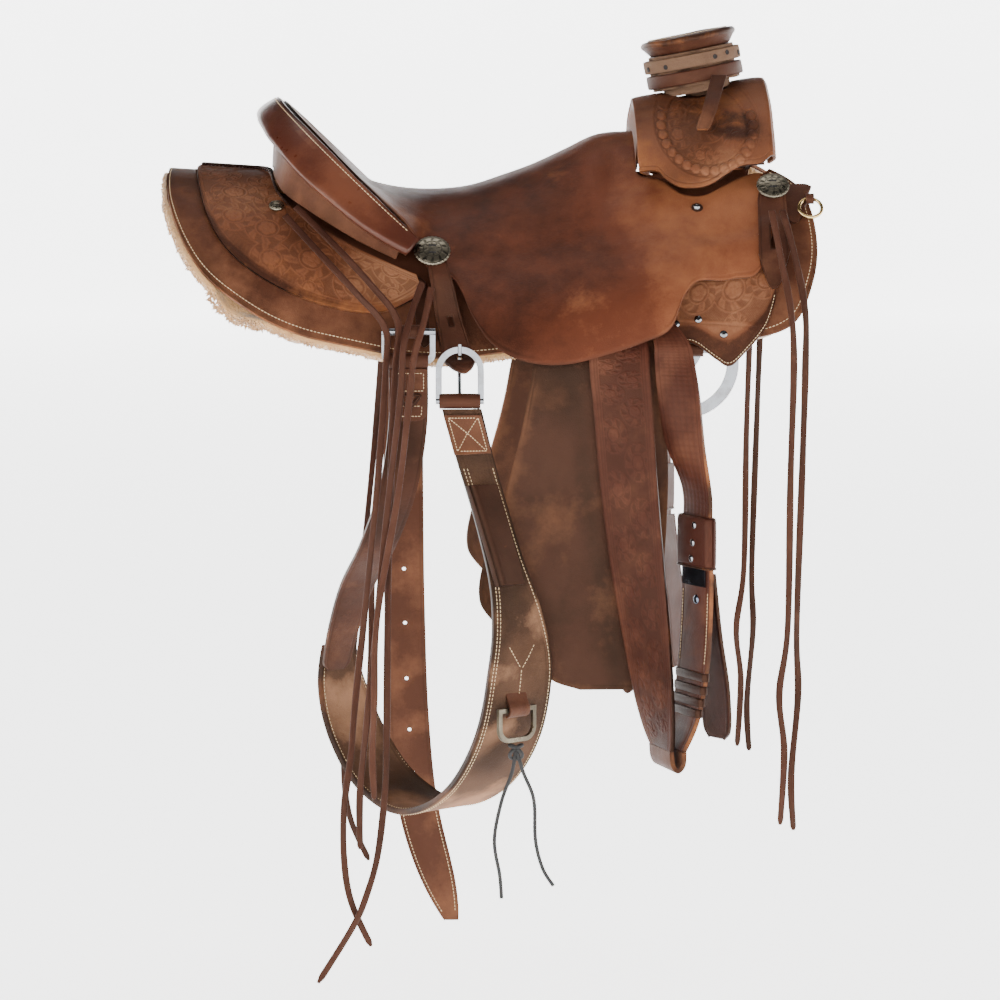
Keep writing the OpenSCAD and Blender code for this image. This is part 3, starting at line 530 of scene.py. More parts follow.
def thong(node, route, tone, s):
    """A flat leather string along its route, turning a little as it hangs."""
    n = 170
    P = path(route, np.linspace(0, 1, n + 1))
    swing = 26 * np.sin(np.linspace(0, 9 + len(route), n + 1) + len(route))[:, None]

    def section(u, q):
        wide = STRING_W / 2 * (0.97 + 0.04 * np.sin(37 * u)) * (1 - 0.55 * ease((u - 0.985) / 0.015))
        a = wide * np.sign(cos(q)) * np.abs(cos(q)) ** 0.7
        o = 1.45 * np.sign(sin(q)) * np.abs(sin(q)) ** 0.7
        return a * cos(swing) - o * sin(swing), a * sin(swing) + o * cos(swing)

    shade = tone + 0.1 * lumps(P, 50, len(route))
    o = tube(node, P, section, 14, "string", node=node, slot="string_leather", mirror=s,
             attrs={"tone": np.repeat(shade, 14), "wear": np.repeat(0.1 * lumps(P, 30, 7), 14)})
    declare(P * [1, s, 1])


for label, (route, tone) in ROUTES.items():
    thong(label.format("right"), route, tone, 1)
# the left, far side's strings are 0.3 darker than the right ones: painted shade of that side
for label, source in LEFT.items():
    thong(label, ROUTES[source][0], ROUTES[source][1] - 0.3, -1)


def braided(u, q):
    r = 2.0 + 0.22 * np.abs(np.sin(np.radians(q) * 2 + u * 150)) + 0.12 * np.abs(np.sin(np.radians(q) * 2 - u * 150))
    return r * cos(q) * 0.93, r * sin(q) * 0.93


for label, route in (("a", CINCH_CORD[5::-1]), ("b", CINCH_CORD[5:])):
    P = path(route, np.linspace(0, 1, 150))
    o = tube(f"cinch_cord.{label}", P, braided, 16, "cord", "cinch_dee", "cinch_cord", "black_cord")
    declare(P)
knot_u = np.linspace(0, 2 * math.pi, 90)
knot = np.stack([14 + 7 * np.sin(2 * knot_u), -293 - 4.5 * np.cos(3 * knot_u),
                 -548 + 7.5 * np.cos(knot_u) - 3 * np.cos(2 * knot_u)], -1)
tube("cinch_cord.knot", knot, braided, 12, "cord", "cinch_dee", slot="black_cord", ends=False)

# ---- tooling ------------------------------------------------------------------------------------


def rosettes(x, y, circles, depth=0.65, seed=3):
    """Carved floral relief in mm: each circle (cx, cy, radius) holds a flower, a ring stem and swirling leaves."""
    best, h = np.full(np.shape(x), 9.0), np.zeros(np.shape(x))
    for k, (cx, cy, R) in enumerate(circles):
        dx, dy = x - cx, y - cy
        q, a = np.hypot(dx, dy) / R, np.degrees(np.arctan2(dy, dx))
        hand = 1 if k % 2 else -1
        a = a * hand + 37 * k
        petal = 0.36 + 0.07 * np.abs(cos(a * 2.5)) ** 0.7
        flower = ease((petal - q) / 0.05) * (0.75 + 0.35 * ease((np.abs(cos(a * 2.5)) - 0.15) / 0.3)
                                             - 0.4 * bump(q, 0.17, 0.035) + 0.25 * bump(q, 0.0, 0.1))
        stem = bump(q, 0.52, 0.035) + 0.85 * bump(q, 1.0, 0.03)
        swirl = cos(a * 7 + 260 * q)
        leaf = ease((swirl + 0.25) / 0.35) * ease((q - 0.57) / 0.04) * ease((0.95 - q) / 0.05)
        leaf = leaf * (0.8 - 0.45 * bump(swirl, 0.95, 0.06))
        shape = np.maximum(np.maximum(flower, stem), leaf)
        near = q < best
        h = np.where(near, shape * (q < 1.12), h)
        best = np.where(near, q, best)
    ground = 0.12 * np.sin(x * 2.3 + seed) * np.sin(y * 2.3 + 1.7 * seed)
    return depth * (h - 0.75) * 0.9 + ground * (h < 0.3)


def crease(d, at, width=0.8, depth=0.5):
    return -depth * bump(d, at, width)


# ---- skirts and fleece ---------------------------------------------------------------------------

SKIRT_UPPER = [[-372, 1], [-350, 1], [-315, 1], [-275, 1], [-262, 10], [-246, 26], [-190, 38],
               [-110, 45], [0, 40], [110, 38], [200, 36], [250, 35.5], [285, 34], [300, 29], [306, 27]]
SKIRT_LOWER = [[-378, 3], [-374, 26], [-344, 43], [-292, 52.5], [-222, 58.4], [-130, 59.8], [0, 59.5],
               [110, 59.5], [190, 61], [262, 67.5], [325, 66.5], [352, 57.5], [358, 47], [345, 34], [311, 25.5]]
skirt = layer(SKIRT_UPPER, SKIRT_LOWER, lambda x, phi, v: SKIRT_T)


def rows_to_edge(n, width, fine=1.4, band=12.0):
    """v values from 0 to 1 that get close together over the last band mm of a strip of that width."""
    split = 1 - band / width
    return np.concatenate([np.linspace(0, split, n, endpoint=False), np.linspace(split, 1, int(band / fine) + 1)])


def skirt_relief(u, v, P):
    w = np.linalg.norm(skirt(u, np.ones_like(v)) - skirt(u, 0.98 + 0 * v), axis=-1) / 0.02
    d = (1 - v) * w
    return crease(d, 4.0) + 0.25 * lumps(P, 60, 5)


for name, s in SIDES:
    us, vs = np.linspace(0, 1, 190), rows_to_edge(34, 130)
    hide(f"skirt.{name}", skirt, us, vs, SKIRT_T, "skirt", node=f"skirt_{name}", slot="skirt_leather", mirror=s,
         outward=-1, relief=skirt_relief, tone=lambda u, v, P: 0.25 * lumps(P, 130, 8) - 0.5 * ease((v - 0.93) / 0.07),
         wear=lambda u, v, P: 0.25 + 0.3 * ease((v - 0.8) / 0.2))
    line = np.linspace(0.01, 0.99, 700)
    sew_on((ROOT, "stitching.skirts"), skirt, line, inset(skirt, line, 1, 8.5), outward=-1, mirror=s)


def under_bar(x, phi):
    return (ease((x + 322) / 14) * (1 - ease((x - 296) / 16)) * ease((phi - 9) / 3) * (1 - ease((phi - 51) / 5)))


FLEECE_UPPER = [[-370, 1], [-315, 1], [-250, 4], [-150, 9], [0, 10], [150, 12], [200, 24], [250, 36], [285, 36],
                [306, 30]]
FLEECE_LOWER = [[x * (1.012 if x < 150 else 0.988), phi + (0.4 if x < 150 else -0.7)] for x, phi in SKIRT_LOWER]


def fleece(depth):
    return layer(FLEECE_UPPER, FLEECE_LOWER, lambda x, phi, v: -1.5 - depth - 20.5 * under_bar(x, phi))


def fleece_piece(name, s):
    """The woolly lining of one skirt: its body, then the locks that stand out at its edge and underneath."""
    nu, nv = 110, 46
    U, V = np.meshgrid(np.linspace(0, 1, nu + 1), np.linspace(0, 1, nv + 1), indexing="ij")
    top, low = fleece(0)(U, V), fleece(FLEECE_T)(U, V)
    low = low + 1.6 * lumps(low, 16, 11)[..., None] * [0.2, 0.3, 1]
    n = top.size // 3
    F = np.concatenate([quads(nu, nv, flip=True), quads(nu, nv) + n])
    i, j = np.arange(nu), np.arange(nv)
    w = nv + 1
    rim = [np.stack([i * w, (i + 1) * w, (i + 1) * w + n, i * w + n], 1),
           np.stack([(i + 1) * w + nv, i * w + nv, i * w + nv + n, (i + 1) * w + nv + n], 1),
           np.stack([j + 1, j, j + n, j + 1 + n], 1),
           np.stack([nu * w + j, nu * w + j + 1, nu * w + j + 1 + n, nu * w + j + n], 1)]
    P = np.concatenate([top.reshape(-1, 3), low.reshape(-1, 3)])
    add_mesh(f"fleece.{name}", P, np.concatenate([F, *rim]), "wool", node=f"fleece_{name}", slot="fleece", mirror=s)
    r = np.random.default_rng(7)
    edge, under = 3000, 4200
    u = np.concatenate([r.random(edge), r.random(under)])
    v = np.concatenate([np.full(edge, 1.0), 1 - r.random(under) ** 1.5 * 0.97])
    depth = np.concatenate([r.uniform(1, FLEECE_T, edge), np.full(under, FLEECE_T)])
    P, _, dv, N = frame_of(fleece(0), u, v)
    P = P + N * depth[:, None]
    at_edge = np.arange(len(u)) < edge
    out = np.where(at_edge[:, None], dv + N * r.uniform(-0.3, 0.7, len(u))[:, None], N + dv * 0.3)
    out = unit(out + r.normal(size=P.shape) * 0.42)
    long = np.where(at_edge, r.uniform(2.5, 5.0, len(u)), r.uniform(3.5, 6.5, len(u)))
    long = long * mix(1, 0.35, ease((u - 0.5) / 0.15))
    A = unit(np.cross(out, r.normal(size=P.shape)))
    B = np.cross(out, A)
    curl = A * r.uniform(0.5, 1.6, len(u))[:, None]
    rings = []
    for share, wide in ((0.0, 1.7), (0.55, 1.25), (1.0, 0.25)):
        c = P - out * 1.2 + out * (long * share)[:, None] + curl * share**2 * long[:, None] * 0.35
        rings += [c + (A * math.cos(q) + B * math.sin(q)) * wide for q in (0, 1.57, 3.14, 4.71)]
    pts = np.stack(rings, 1)
    F = np.concatenate([quads(2, 4, loop=True), [[8, 9, 10, 11]]])
    F = np.concatenate([F + 12 * k for k in range(len(u))])
    add_mesh(f"wool_locks.{name}", pts, F, "wool", slot="fleece", mirror=s)


for name, s in SIDES:
    fleece_piece(name, s)

# ---- rear jockeys and rigging plates ---------------------------------------------------------------

JOCKEY_UPPER = [[-342, 1], [-320, 1], [-295, 1], [-275, 1], [-262, 6], [-252, 20], [-224, 28.5],
                [-170, 36], [-124, 39.5], [-94, 41.5]]
JOCKEY_LOWER = [[-345, 6], [-343, 16], [-333, 29], [-310, 39.5], [-270, 46.5], [-220, 51], [-170, 52.6],
                [-130, 51.3], [-101, 48], [-88, 45.5]]
jockey = layer(JOCKEY_UPPER, JOCKEY_LOWER, lambda x, phi, v: SKIRT_T + 5.8)


def on_side(P):
    """Distances along the side surface in mm: forward, and down from the centre line."""
    phi = np.degrees(np.arctan2(np.abs(P[..., 1]) / 250, 1 - (curve(TOP_LINE, P[..., 0]) + 8 - P[..., 2]) / 345))
    return P[..., 0], np.radians(phi) * 292


JOCKEY_FLOWERS = [(-318, 62, 25), (-300, 112, 27), (-262, 78, 24), (-300, 160, 25), (-252, 128, 27), (-262, 178, 26),
                  (-258, 222, 24), (-206, 168, 26), (-212, 218, 27), (-164, 200, 25), (-164, 246, 24), (-122, 214, 22),
                  (-320, 22, 24), (-330, 130, 14), (-215, 255, 16), (-120, 246, 15)]


def edge_gap(surface, u, v):
    """Distance in mm to the nearest outline of a surface."""
    e = 0.02
    wide, long = (np.linalg.norm(surface(*far) - surface(*near), axis=-1) / (2 * e) for far, near in (
        ((u, np.full_like(v, 0.5 + e)), (u, np.full_like(v, 0.5 - e))),
        ((np.full_like(u, 0.5 + e), v), (np.full_like(u, 0.5 - e), v))))
    return np.minimum(np.minimum(v, 1 - v) * wide, np.minimum(u, 1 - u) * long)


def jockey_relief(u, v, P):
    gap = edge_gap(jockey, u, v)
    x, y = on_side(P)
    inside = ease((gap - 11) / 2)
    return rosettes(x, y, JOCKEY_FLOWERS) * inside + crease(gap, 9.5) + crease(gap, 5.5, 0.7, 0.4)


for name, s in SIDES:
    hide(f"rear_jockey.{name}", jockey, np.linspace(0, 1, 330), rows_to_edge(110, 100, 1.2), 4, "tooled", mirror=s,
         node=f"rear_jockey_{name}", slot="tooled_leather", outward=-1, relief=jockey_relief,
         tone=lambda u, v, P: 0.1 + 0.35 * lumps(P, 90, 4) - 0.9 * ease((v - 0.9) / 0.1) - 0.5 * ease((0.1 - v) / 0.1),
         wear=lambda u, v, P: 0.2 + 0.3 * lumps(P, 70, 9))
    lace = np.linspace(0.02, 0.62, 260)
    P, du, dv, N = frame_of(jockey, lace, inset(jockey, lace, 0, 2.5))
    wave = np.sin(np.arange(len(lace)) * 0.72)[:, None]
    tube(f"jockey_lacing.{name}", P - N * 1.6 + dv * wave * 2.6, lambda u, q: (1.5 * cos(q), 1.2 * sin(q)), 6, "edge",
         mirror=s)

PLATE_T = 3.6
PLATE_UPPER = [[190, 50], [215, 50], [240, 50], [265, 50], [290, 52], [306, 55]]
PLATE_LOWER = [[190, 66.5], [214, 67], [240, 71], [254, 72.8], [268, 71.5], [296, 66.5], [309, 60]]
plate = layer(PLATE_UPPER, PLATE_LOWER, lambda x, phi, v: SKIRT_T + 0.6 + PLATE_T)
PLATE_FLOWERS = [(222, 292, 22), (262, 296, 24), (298, 292, 20), (240, 264, 20), (280, 262, 20), (262, 334, 13)]


def plate_relief(u, v, P):
    gap = edge_gap(plate, u, v)
    x, y = on_side(P)
    panel = ease((gap - 7) / 2) * ease((327 - y + 0.25 * (x - 240)) / 3)
    return rosettes(x, y, PLATE_FLOWERS) * panel + crease(gap, 5.5) - 0.35 * bump(y - 0.25 * (x - 240), 329, 0.9)


for name, s in SIDES:
    hide(f"rigging_plate.{name}", plate, np.linspace(0, 1, 130), np.linspace(0, 1, 110), PLATE_T, "tooled",
         node=f"rigging_plate_{name}", slot="tooled_leather", mirror=s, outward=-1, relief=plate_relief,
         tone=lambda u, v, P: 0.3 - 0.9 * ease((v - 0.72) / 0.1), wear=lambda u, v, P: 0.1 + 0.15 * lumps(P, 40, 2))
    line = np.linspace(0.02, 0.98, 260)
    sew_on((ROOT, "stitching.rigging"), plate, line, inset(plate, line, 1, 3.4), outward=-1, mirror=s, pitch=3.6,
           length=2.6)

# ---- seat ---------------------------------------------------------------------------------------

SEAT_LINE = [[-242, 163], [-225, 135], [-200, 107], [-160, 83], [-120, 71], [-75, 67], [-30, 71],
             [9, 83], [45, 96], [82, 113], [119, 130], [160, 134]]
SEAT_EDGE = [[-242, 4], [-228, 16], [-214, 22], [-168, 32.5], [-123, 38], [-80, 42.5], [-55, 43.5],
             [-45, 47], [-34, 53.5], [-17, 59.2], [5, 62.8], [34, 65.2], [69, 66.5], [114, 66.8], [160, 66.5],
             [189, 65], [204, 59.5], [221, 56.5], [262, 56], [290, 55.5], [306, 48], [318, 40]]
SEAT_INNER = [[150, 16], [164, 21], [188, 24.5], [207, 30.5], [233, 32.5], [257, 30.5], [278, 28.5],
              [300, 28.5], [318, 32]]
SWELL = 29
SEAT_BACK, SEAT_SPLIT, SEAT_FRONT, INNER_SHARE = -242, 160, 318, 4 / 11


def jockey_h(x, phi):
    return (mix(10, 6.5, ease((x - 190) / 50)) + SWELL * ease((phi - 36) / 28) * (1 - ease((x - 200) / 55))
            + 4 * ease((x - 205) / 25) * ease((phi - 44) / 5))


def seat_point(x, phi, lift):
    q, s = np.abs(phi), np.sign(phi)
    w = ease((x + 110) / 60)
    y = REAR_HALF * sin(q)
    h = mix(curve(SEAT_LINE, x) - SEAT_T - curve(TOP_LINE, x), jockey_h(x, q),
            ease(q / mix(38, 27, ease((x - 100) / 40))))
    f = side(x, q, h + lift)
    edge = np.maximum(18, REAR_HALF * sin(curve(SEAT_EDGE, x)))
    dish = mix(curve(SEAT_LINE, x), -72 - x, np.minimum(1.1, (y / edge) ** 2))
    d = np.stack([x, -y, dish - SEAT_T - 2 + lift * (1 + 2 / SEAT_T)], -1)
    p = mix(d, f, w[..., None])
    return np.stack([p[..., 0], s * p[..., 1], p[..., 2]], -1)


def seat(u, v):
    """u from the cantle to the front, v from the left edge (0) to the right edge (1)."""
    x = np.where(u < 0.7, mix(SEAT_BACK, SEAT_SPLIT, u / 0.7), mix(SEAT_SPLIT, SEAT_FRONT, (u - 0.7) / 0.3))
    c = 2 * v - 1
    e, q = curve(SEAT_EDGE, x), np.abs(c)
    inner = mix(INNER_SHARE * e, curve(SEAT_INNER, x), ease((x - 90) / 60))
    phi = np.where(q < INNER_SHARE, inner * q / INNER_SHARE,
                   mix(inner, e, (q - INNER_SHARE) / (1 - INNER_SHARE)))
    return seat_point(x, np.where(c < 0, -1, 1) * np.maximum(phi, 1e-4), SEAT_T)


def seat_relief(u, v, P):
    q = np.abs(2 * v - 1)
    wide = np.linalg.norm(seat(u, np.ones_like(v)) - seat(u, np.ones_like(v) - 0.01), axis=-1) / 0.02
    low = (1 - q) * wide
    top = np.where((u > 0.7) & (q > INNER_SHARE), (q - INNER_SHARE) * wide, 99)
    line = crease(low, 5.5, 0.9, 0.55) + crease(top, 5.0, 0.9, 0.55)
    return line + 0.5 * lumps(P, 90, 21) - 0.9 * bump(np.minimum(low, top), 0, 1.6)


def seat_tone(u, v, P):
    x, z = P[..., 0], P[..., 2]
    front = ease((x - 118 + 0.25 * (z + 20) + 14 * lumps(P, 120, 31)) / 60)
    centre = bump(x, 20, 130) * ease((z + 70) / 60)
    lower = ease((-20 - z) / 60) * (1 - front)
    return 0.05 * centre + 0.62 * front + 0.15 * lower - 0.25 + 0.16 * lumps(P, 140, 33)


def seat_wear(u, v, P):
    return 0.3 * ease((P[..., 0] - 130) / 60) * ease((P[..., 2] + 90) / 60) + 0.18 * lumps(P, 110, 35)


def seat_rows():
    """v values of the seat's grid: even over the dish, and close together at both lower edges."""
    fine = np.linspace(0.915, 1, 12)
    q = np.concatenate([np.linspace(0, INNER_SHARE, 17), np.linspace(INNER_SHARE, 0.915, 40)[1:], fine[1:]])
    q = np.concatenate([-q[:0:-1], q])
    return (q + 1) / 2


SEAT_US = np.concatenate([np.linspace(0, 0.7, 118), np.linspace(0.7, 1, 54)[1:]])
SEAT_VS = seat_rows()
gap_v = np.abs((SEAT_VS[:-1] + SEAT_VS[1:]) - 1) < INNER_SHARE
gap_u = (SEAT_US[:-1] + SEAT_US[1:]) / 2 > 0.7
hide("seat", seat, SEAT_US, SEAT_VS, SEAT_T, "seat", node="seat_leather", slot="seat_leather", outward=-1,
     keep=~(gap_u[:, None] & gap_v[None, :]), relief=seat_relief, tone=seat_tone, wear=seat_wear)

# ---- fork and horn ---------------------------------------------------------------------------------

FORK_REAR, FORK_HALF, FORK_BASE, FORK_HIGH = 168, 152, 58, 116
COVER_OUT = [[172, 0.78], [164, 0.88], [161, 0.96], [168, 1], [240, 1], [304, 1], [316, 0.96], [318, 0.88], [312, 0.78]]


def arch(x, phi, reach):
    c, s = np.abs(cos(phi)) ** 1.3, np.abs(sin(phi)) ** 1.3
    return np.stack([x, -np.sign(phi) * FORK_HALF * reach * s,
                     FORK_BASE + (FORK_HIGH + (x - FORK_REAR) * 0.16) * reach * c], -1)


COVER_EDGE = [[161, 67], [176, 67], [183, 68], [190, 72.5], [205, 77.5], [219, 78.5], [232, 78], [245, 75.5],
              [256, 72], [276, 67], [299, 66], [312, 62]]


def cover(u, v):
    o = path(COVER_OUT, u)
    return arch(o[..., 0], curve(COVER_EDGE, o[..., 0]) * (2 * v - 1) + 1e-4, o[..., 1])


BEAD_X, BEAD_Z, BEAD_R = 241, 143, 52


def cover_relief(u, v, P):
    x, z = P[..., 0], P[..., 2]
    dx, dz = x - BEAD_X, (z - BEAD_Z) * 1.02
    r, a = np.hypot(dx, dz), np.degrees(np.arctan2(dz, dx))
    flank = ease((np.abs(P[..., 1]) - 30) / 8)
    n = 30
    bead_a = (np.round(a * n / 360)) * 360 / n
    off = np.hypot(r - BEAD_R, np.radians(a - bead_a) * BEAD_R)
    ring = (1.7 * np.sqrt(np.clip(1 - (off / 5.2) ** 2, 0, 1)) - 0.6 * bump(off, 6.0, 0.9))
    ring = ring * ease((85 - np.abs(np.mod(a + 90 + 180, 360) - 180)) / 10 + 3.0)
    inner = rosettes(dx, dz, [(0, 4, 24), (-34, -10, 17), (33, -14, 17), (-10, -34, 14), (18, -37, 13), (-34, 22, 14),
                              (0, 36, 15)], 0.7)
    carved = np.where(r < BEAD_R - 7, inner, 0) - 0.7 * bump(r, BEAD_R - 6.6, 0.9) - 0.5 * bump(r, BEAD_R + 7.4, 0.9)
    low = (1 - np.abs(2 * v - 1)) * 160
    return (ring + carved) * flank + crease(low, 6) + 0.4 * lumps(P, 50, 41)


def cover_tone(u, v, P):
    x, z = P[..., 0], P[..., 2]
    patch = np.exp(-(((x - 274) / 26) ** 2 + ((z - 142) / 15) ** 2))
    return (-0.05 - 1.5 * patch + 0.3 * lumps(P, 60, 43) + 0.45 * ease((120 - z) / 40) - 0.4 * ease((z - 140) / 40))


def cut_round_horn(o, r=41):
    """Opens a piece where the horn post comes through it."""
    bm = bmesh.new()
    bm.from_mesh(o.data)
    axis = Vector((-math.sin(math.radians(11)), 0, math.cos(math.radians(11))))
    base = Vector((0.238, 0, 0.178))
    dead = [f for f in bm.faces if ((f.calc_center_median() - base)
            - axis * (f.calc_center_median() - base).dot(axis)).length < r / 1000 and f.calc_center_median().z > 0.1]
    bmesh.ops.delete(bm, geom=dead, context="FACES")
    bm.to_mesh(o.data)
    bm.free()


COVER_US = np.concatenate([np.linspace(0, 0.375, 24), np.linspace(0.375, 0.625, 104)[1:],
                           np.linspace(0.625, 1, 24)[1:]])
fork = hide("fork_cover", cover, COVER_US, np.linspace(0, 1, 420), 3.2, "tooled", node="fork_cover",
            slot="seat_leather", outward=-1, relief=cover_relief, tone=cover_tone,
            wear=lambda u, v, P: 0.3 * lumps(P, 45, 45) + 0.15)
cut_round_horn(fork)

TILT = math.radians(11)


def on_horn(P):
    """From the horn's own upright frame to the saddle's."""
    P = np.asarray(P, float)
    c, s = math.cos(TILT), math.sin(TILT)
    return np.stack([238 + c * P[..., 0] - s * P[..., 2], P[..., 1], 178 + s * P[..., 0] + c * P[..., 2]], -1)


def wound(radius, z, thick, tall, name, material, attrs=None, turns=1.0, drop=0.0, start=0.0, wobble=0.5):
    """Flat band wound round the horn, with its rounded edges."""
    n = int(110 * turns)
    a = start + np.linspace(0, 360 * turns, n + 1)
    zc = z + drop * np.linspace(0, 1, n + 1)
    rr = radius + wobble * np.sin(np.radians(a * 3 + 20)) + thick * np.floor((a - start) / 360.01)
    prof = [(-0.5, -0.5), (-0.15, -0.5), (0.5, -0.46), (0.62, -0.38), (0.66, 0), (0.62, 0.38), (0.5, 0.46), (-0.5, 0.5)]
    P = np.stack([np.stack([(rr + p * thick) * cos(a), (rr + p * thick) * sin(a), zc + q * tall], -1)
                  for p, q in prof], 1)
    k = len(prof)
    F = [list(f) for f in quads(n, k, loop=True)] + [list(range(k))[::-1], [n * k + i for i in range(k)]]
    return add_mesh(name, on_horn(P), F, material, attrs=attrs)


def neck(u, v):
    z = mix(11, 50.5, v)
    a = 360 * u
    r = 49.6 + 1.2 * bump(v, 0.0, 0.25) + 0.8 * np.sin(z * 0.55 + 0.02 * a)
    return on_horn(np.stack([r * cos(a), r * sin(a), z], -1))


hide("horn_wrap", neck, np.linspace(0, 1, 121), np.linspace(0, 1, 30), 3, "rough", node="horn_wrap",
     slot="rough_leather", outward=1, round_by=0, relief=lambda u, v, P: 0.6 * lumps(P, 14, 51), tone=-0.1, wear=0.1)
lower_band = wound(53.2, 21.5, 5, 16, "horn_strap.lower", "strap", wobble=0.4)
upper_band = wound(53.6, 39.5, 5, 15.5, "horn_strap.upper", "rough", wobble=0.6)
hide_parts("horn_strap")
# the holes in the upper horn band are dark dished discs: painted shade inside them
for k, (a, z) in enumerate([(-128, 37.5), (-66, 39), (-47, 41), (-160, 38), (-20, 38)]):
    pts, F, _, _ = spin([[0, 0], [1.7, 0.05], [2.3, 0.5], [2.9, 0.15], [3.1, -0.4]], 14)
    q = math.radians(a)
    ax = np.array([[-math.sin(q), math.cos(q), 0], [0, 0, 1], [math.cos(q), math.sin(q), 0]])
    add_mesh(f"horn_strap_hole.{k}", on_horn(pts @ ax + ax[2] * 56.95 + [0, 0, z]), F, "hole")


TAIL = [[257, -57, 196], [250, -78, 178], [243, -99, 160], [233, -116, 136]]


def tail(u, v):
    c = path(TAIL, u)
    t = unit(path(TAIL, np.minimum(1, u + 0.01)) - path(TAIL, np.maximum(0, u - 0.01)))
    across = np.array([math.cos(0.15), math.sin(0.15), 0])
    wide = 18 - 1.5 * u - 4 * ease((u - 0.9) / 0.1)
    out = unit(np.cross(t, np.broadcast_to(across, t.shape)))
    return c + across * ((0.5 - v) * wide)[..., None] + out * 1.8


hide("horn_strap.tail", tail, np.linspace(0, 1, 50), np.linspace(0, 1, 13), 3.4, "strap", slot="strap_leather",
     outward=1, relief=lambda u, v, P: crease(np.minimum(v, 1 - v) * 16, 2.2, 0.6, 0.3),
     tone=lambda u, v, P: 0.5 * ease((u - 0.45) / 0.2) - 0.2, wear=lambda u, v, P: 0.5 * ease((u - 0.5) / 0.3))

cap_profile = [[0, 70.4], [30, 70.6], [44, 70.2], [48.5, 69.6], [49.2, 68.9], [50.2, 69.3], [53.5, 68.6], [55.6, 66.4],
               [56, 63.8], [55, 61.6], [53, 60], [50.5, 56.5], [47.5, 52.5], [45.5, 50.8], [41, 50.5]]
pts, F, R, A = spin(cap_profile, 96)
add_mesh("horn_cap", on_horn(pts + np.stack([0 * pts[:, 0], 0 * pts[:, 0], 0.5 * lumps(pts, 30, 61)], -1)),
               F, ["roll", "strap", "edge"], node="horn_cap", slot="strap_leather",
               face_mats=np.where(np.arange(len(F)) // 96 < 4, 1, np.where(np.arange(len(F)) // 96 < 9, 2, 1)),
               attrs={"tone": 0.1 * np.ones(R.shape), "wear": 0.2 + 0.3 * (R < 40)})
ring_a = np.linspace(0, 360, 400)
circle = on_horn(np.stack([46.5 * cos(ring_a), 46.5 * sin(ring_a), 70.1 + 0 * ring_a], -1))
sew((ROOT, "stitching.horn"), circle, np.broadcast_to([-math.sin(TILT), 0, math.cos(TILT)], circle.shape), pitch=3.6,
    length=2.6, r=0.4)

# ---- cantle -----------------------------------------------------------------------------------------

RIM_HIGH, RIM_HALF, ROLL_T = 165, 172, 11
BASE_X = [[0, -252], [0.35, -244], [0.55, -216], [0.75, -164], [1, -96]]
BASE_Y = [[0, 0], [0.35, 84], [0.55, 118], [0.75, 147], [1, 166]]


def rim_s(t):
    q, s = np.abs(t), np.sign(t)
    z = 10 + RIM_HIGH * cos(90 * q)
    return np.stack([-72 - z, -s * RIM_HALF * sin(90 * q), z], -1)


def base(t):
    q, s = np.abs(t), np.sign(t)
    x, y = curve(BASE_X, q), curve(BASE_Y, q)
    p = side(x, np.degrees(np.arcsin(y / (curve(HALF_LINE, x) + 11))), 11)
    return np.stack([x, -s * y, p[..., 2]], -1)


def cantle_back(u, v):
    t = mix(-0.93, 0.93, u)
    r, b = rim_s(t), base(t)
    p = mix(r, b, mix(0.2, 0.98, v)[..., None])
    out = unit(np.stack([-1.2 + np.abs(t) * 0.8, p[..., 1] / 170, 0.1 + 0 * t], -1))
    return p + out * 4


hide("cantle_back", cantle_back, np.linspace(0, 1, 150), np.linspace(0, 1, 40), 3.6, "skirt", node="cantle_back",
     slot="seat_leather", outward=1, relief=lambda u, v, P: 0.5 * lumps(P, 40, 71),
     tone=lambda u, v, P: 0.35 + 0.2 * lumps(P, 60, 73), wear=0.25)

ROLL_WIDE = [[0, 30], [0.5, 44], [0.8, 40], [0.98, 24]]


def roll(u, a):
    t = mix(-0.97, 0.97, u)
    q, s = np.abs(t), np.sign(t)
    r = rim_s(t)
    out = unit(np.stack([-0.75 + 0.25 * q, -s * 0.62 * q, -0.6 + 0 * q], -1))
    along = unit(rim_s(t + 0.02) - rim_s(t - 0.02))
    up = unit(np.cross(out, along))
    w = curve(ROLL_WIDE, q)
    ca, sa = cos(a), sin(a)
    ca, sa = np.sign(ca) * np.abs(ca) ** 0.8, np.sign(sa) * np.abs(sa) ** 0.8
    thick = ROLL_T / 2 * (1 + 0.28 * ca + 0.35 * bump(ca, -0.98, 0.07))
    return r + out * (w / 2 + 4.5 + (w / 2 + 1) * ca)[..., None] + up * (thick * sa)[..., None]


ru, ra = np.linspace(0, 1, 181), np.arange(56) * 360 / 56
RU, RA = np.meshgrid(ru, ra, indexing="ij")
RP = roll(RU, RA)
lie = np.cos(np.radians(RA))
roll_tone = -0.15 + 0.4 * bump(np.abs(RU - 0.5), 0.34, 0.13) + 0.25 * lumps(RP, 45, 81) - 0.5 * (lie < -0.85)
F = [list(f) for f in quads(180, 56, loop=True)] + [list(range(56))[::-1], [180 * 56 + k for k in range(56)]]
rolled = add_mesh("cantle_roll", RP + 0.3 * lumps(RP, 30, 83)[..., None], F, "roll", node="cantle_roll", slot="seat_leather",
                  attrs={"tone": roll_tone, "wear": 0.35 * (lie < -0.3) * (lumps(RP, 25, 85) > 0.2)})
outward_faces(rolled)


def roll_line(a):
    u = np.linspace(0.02, 0.98, 700)
    P = roll(u, np.full(u.shape, a))
    mid = roll(u, np.full(u.shape, 0.0)) * 0.5 + roll(u, np.full(u.shape, 180.0)) * 0.5
    up = unit(np.cross(roll(u, np.full(u.shape, 180.0)) - mid, np.gradient(P, axis=0)))
    up = up * np.sign((up * (P - mid)).sum(-1, keepdims=True))
    return P, up


P, N = roll_line(132.0)
sew((ROOT, "stitching.cantle"), P, N, pitch=4.6, length=3.4)

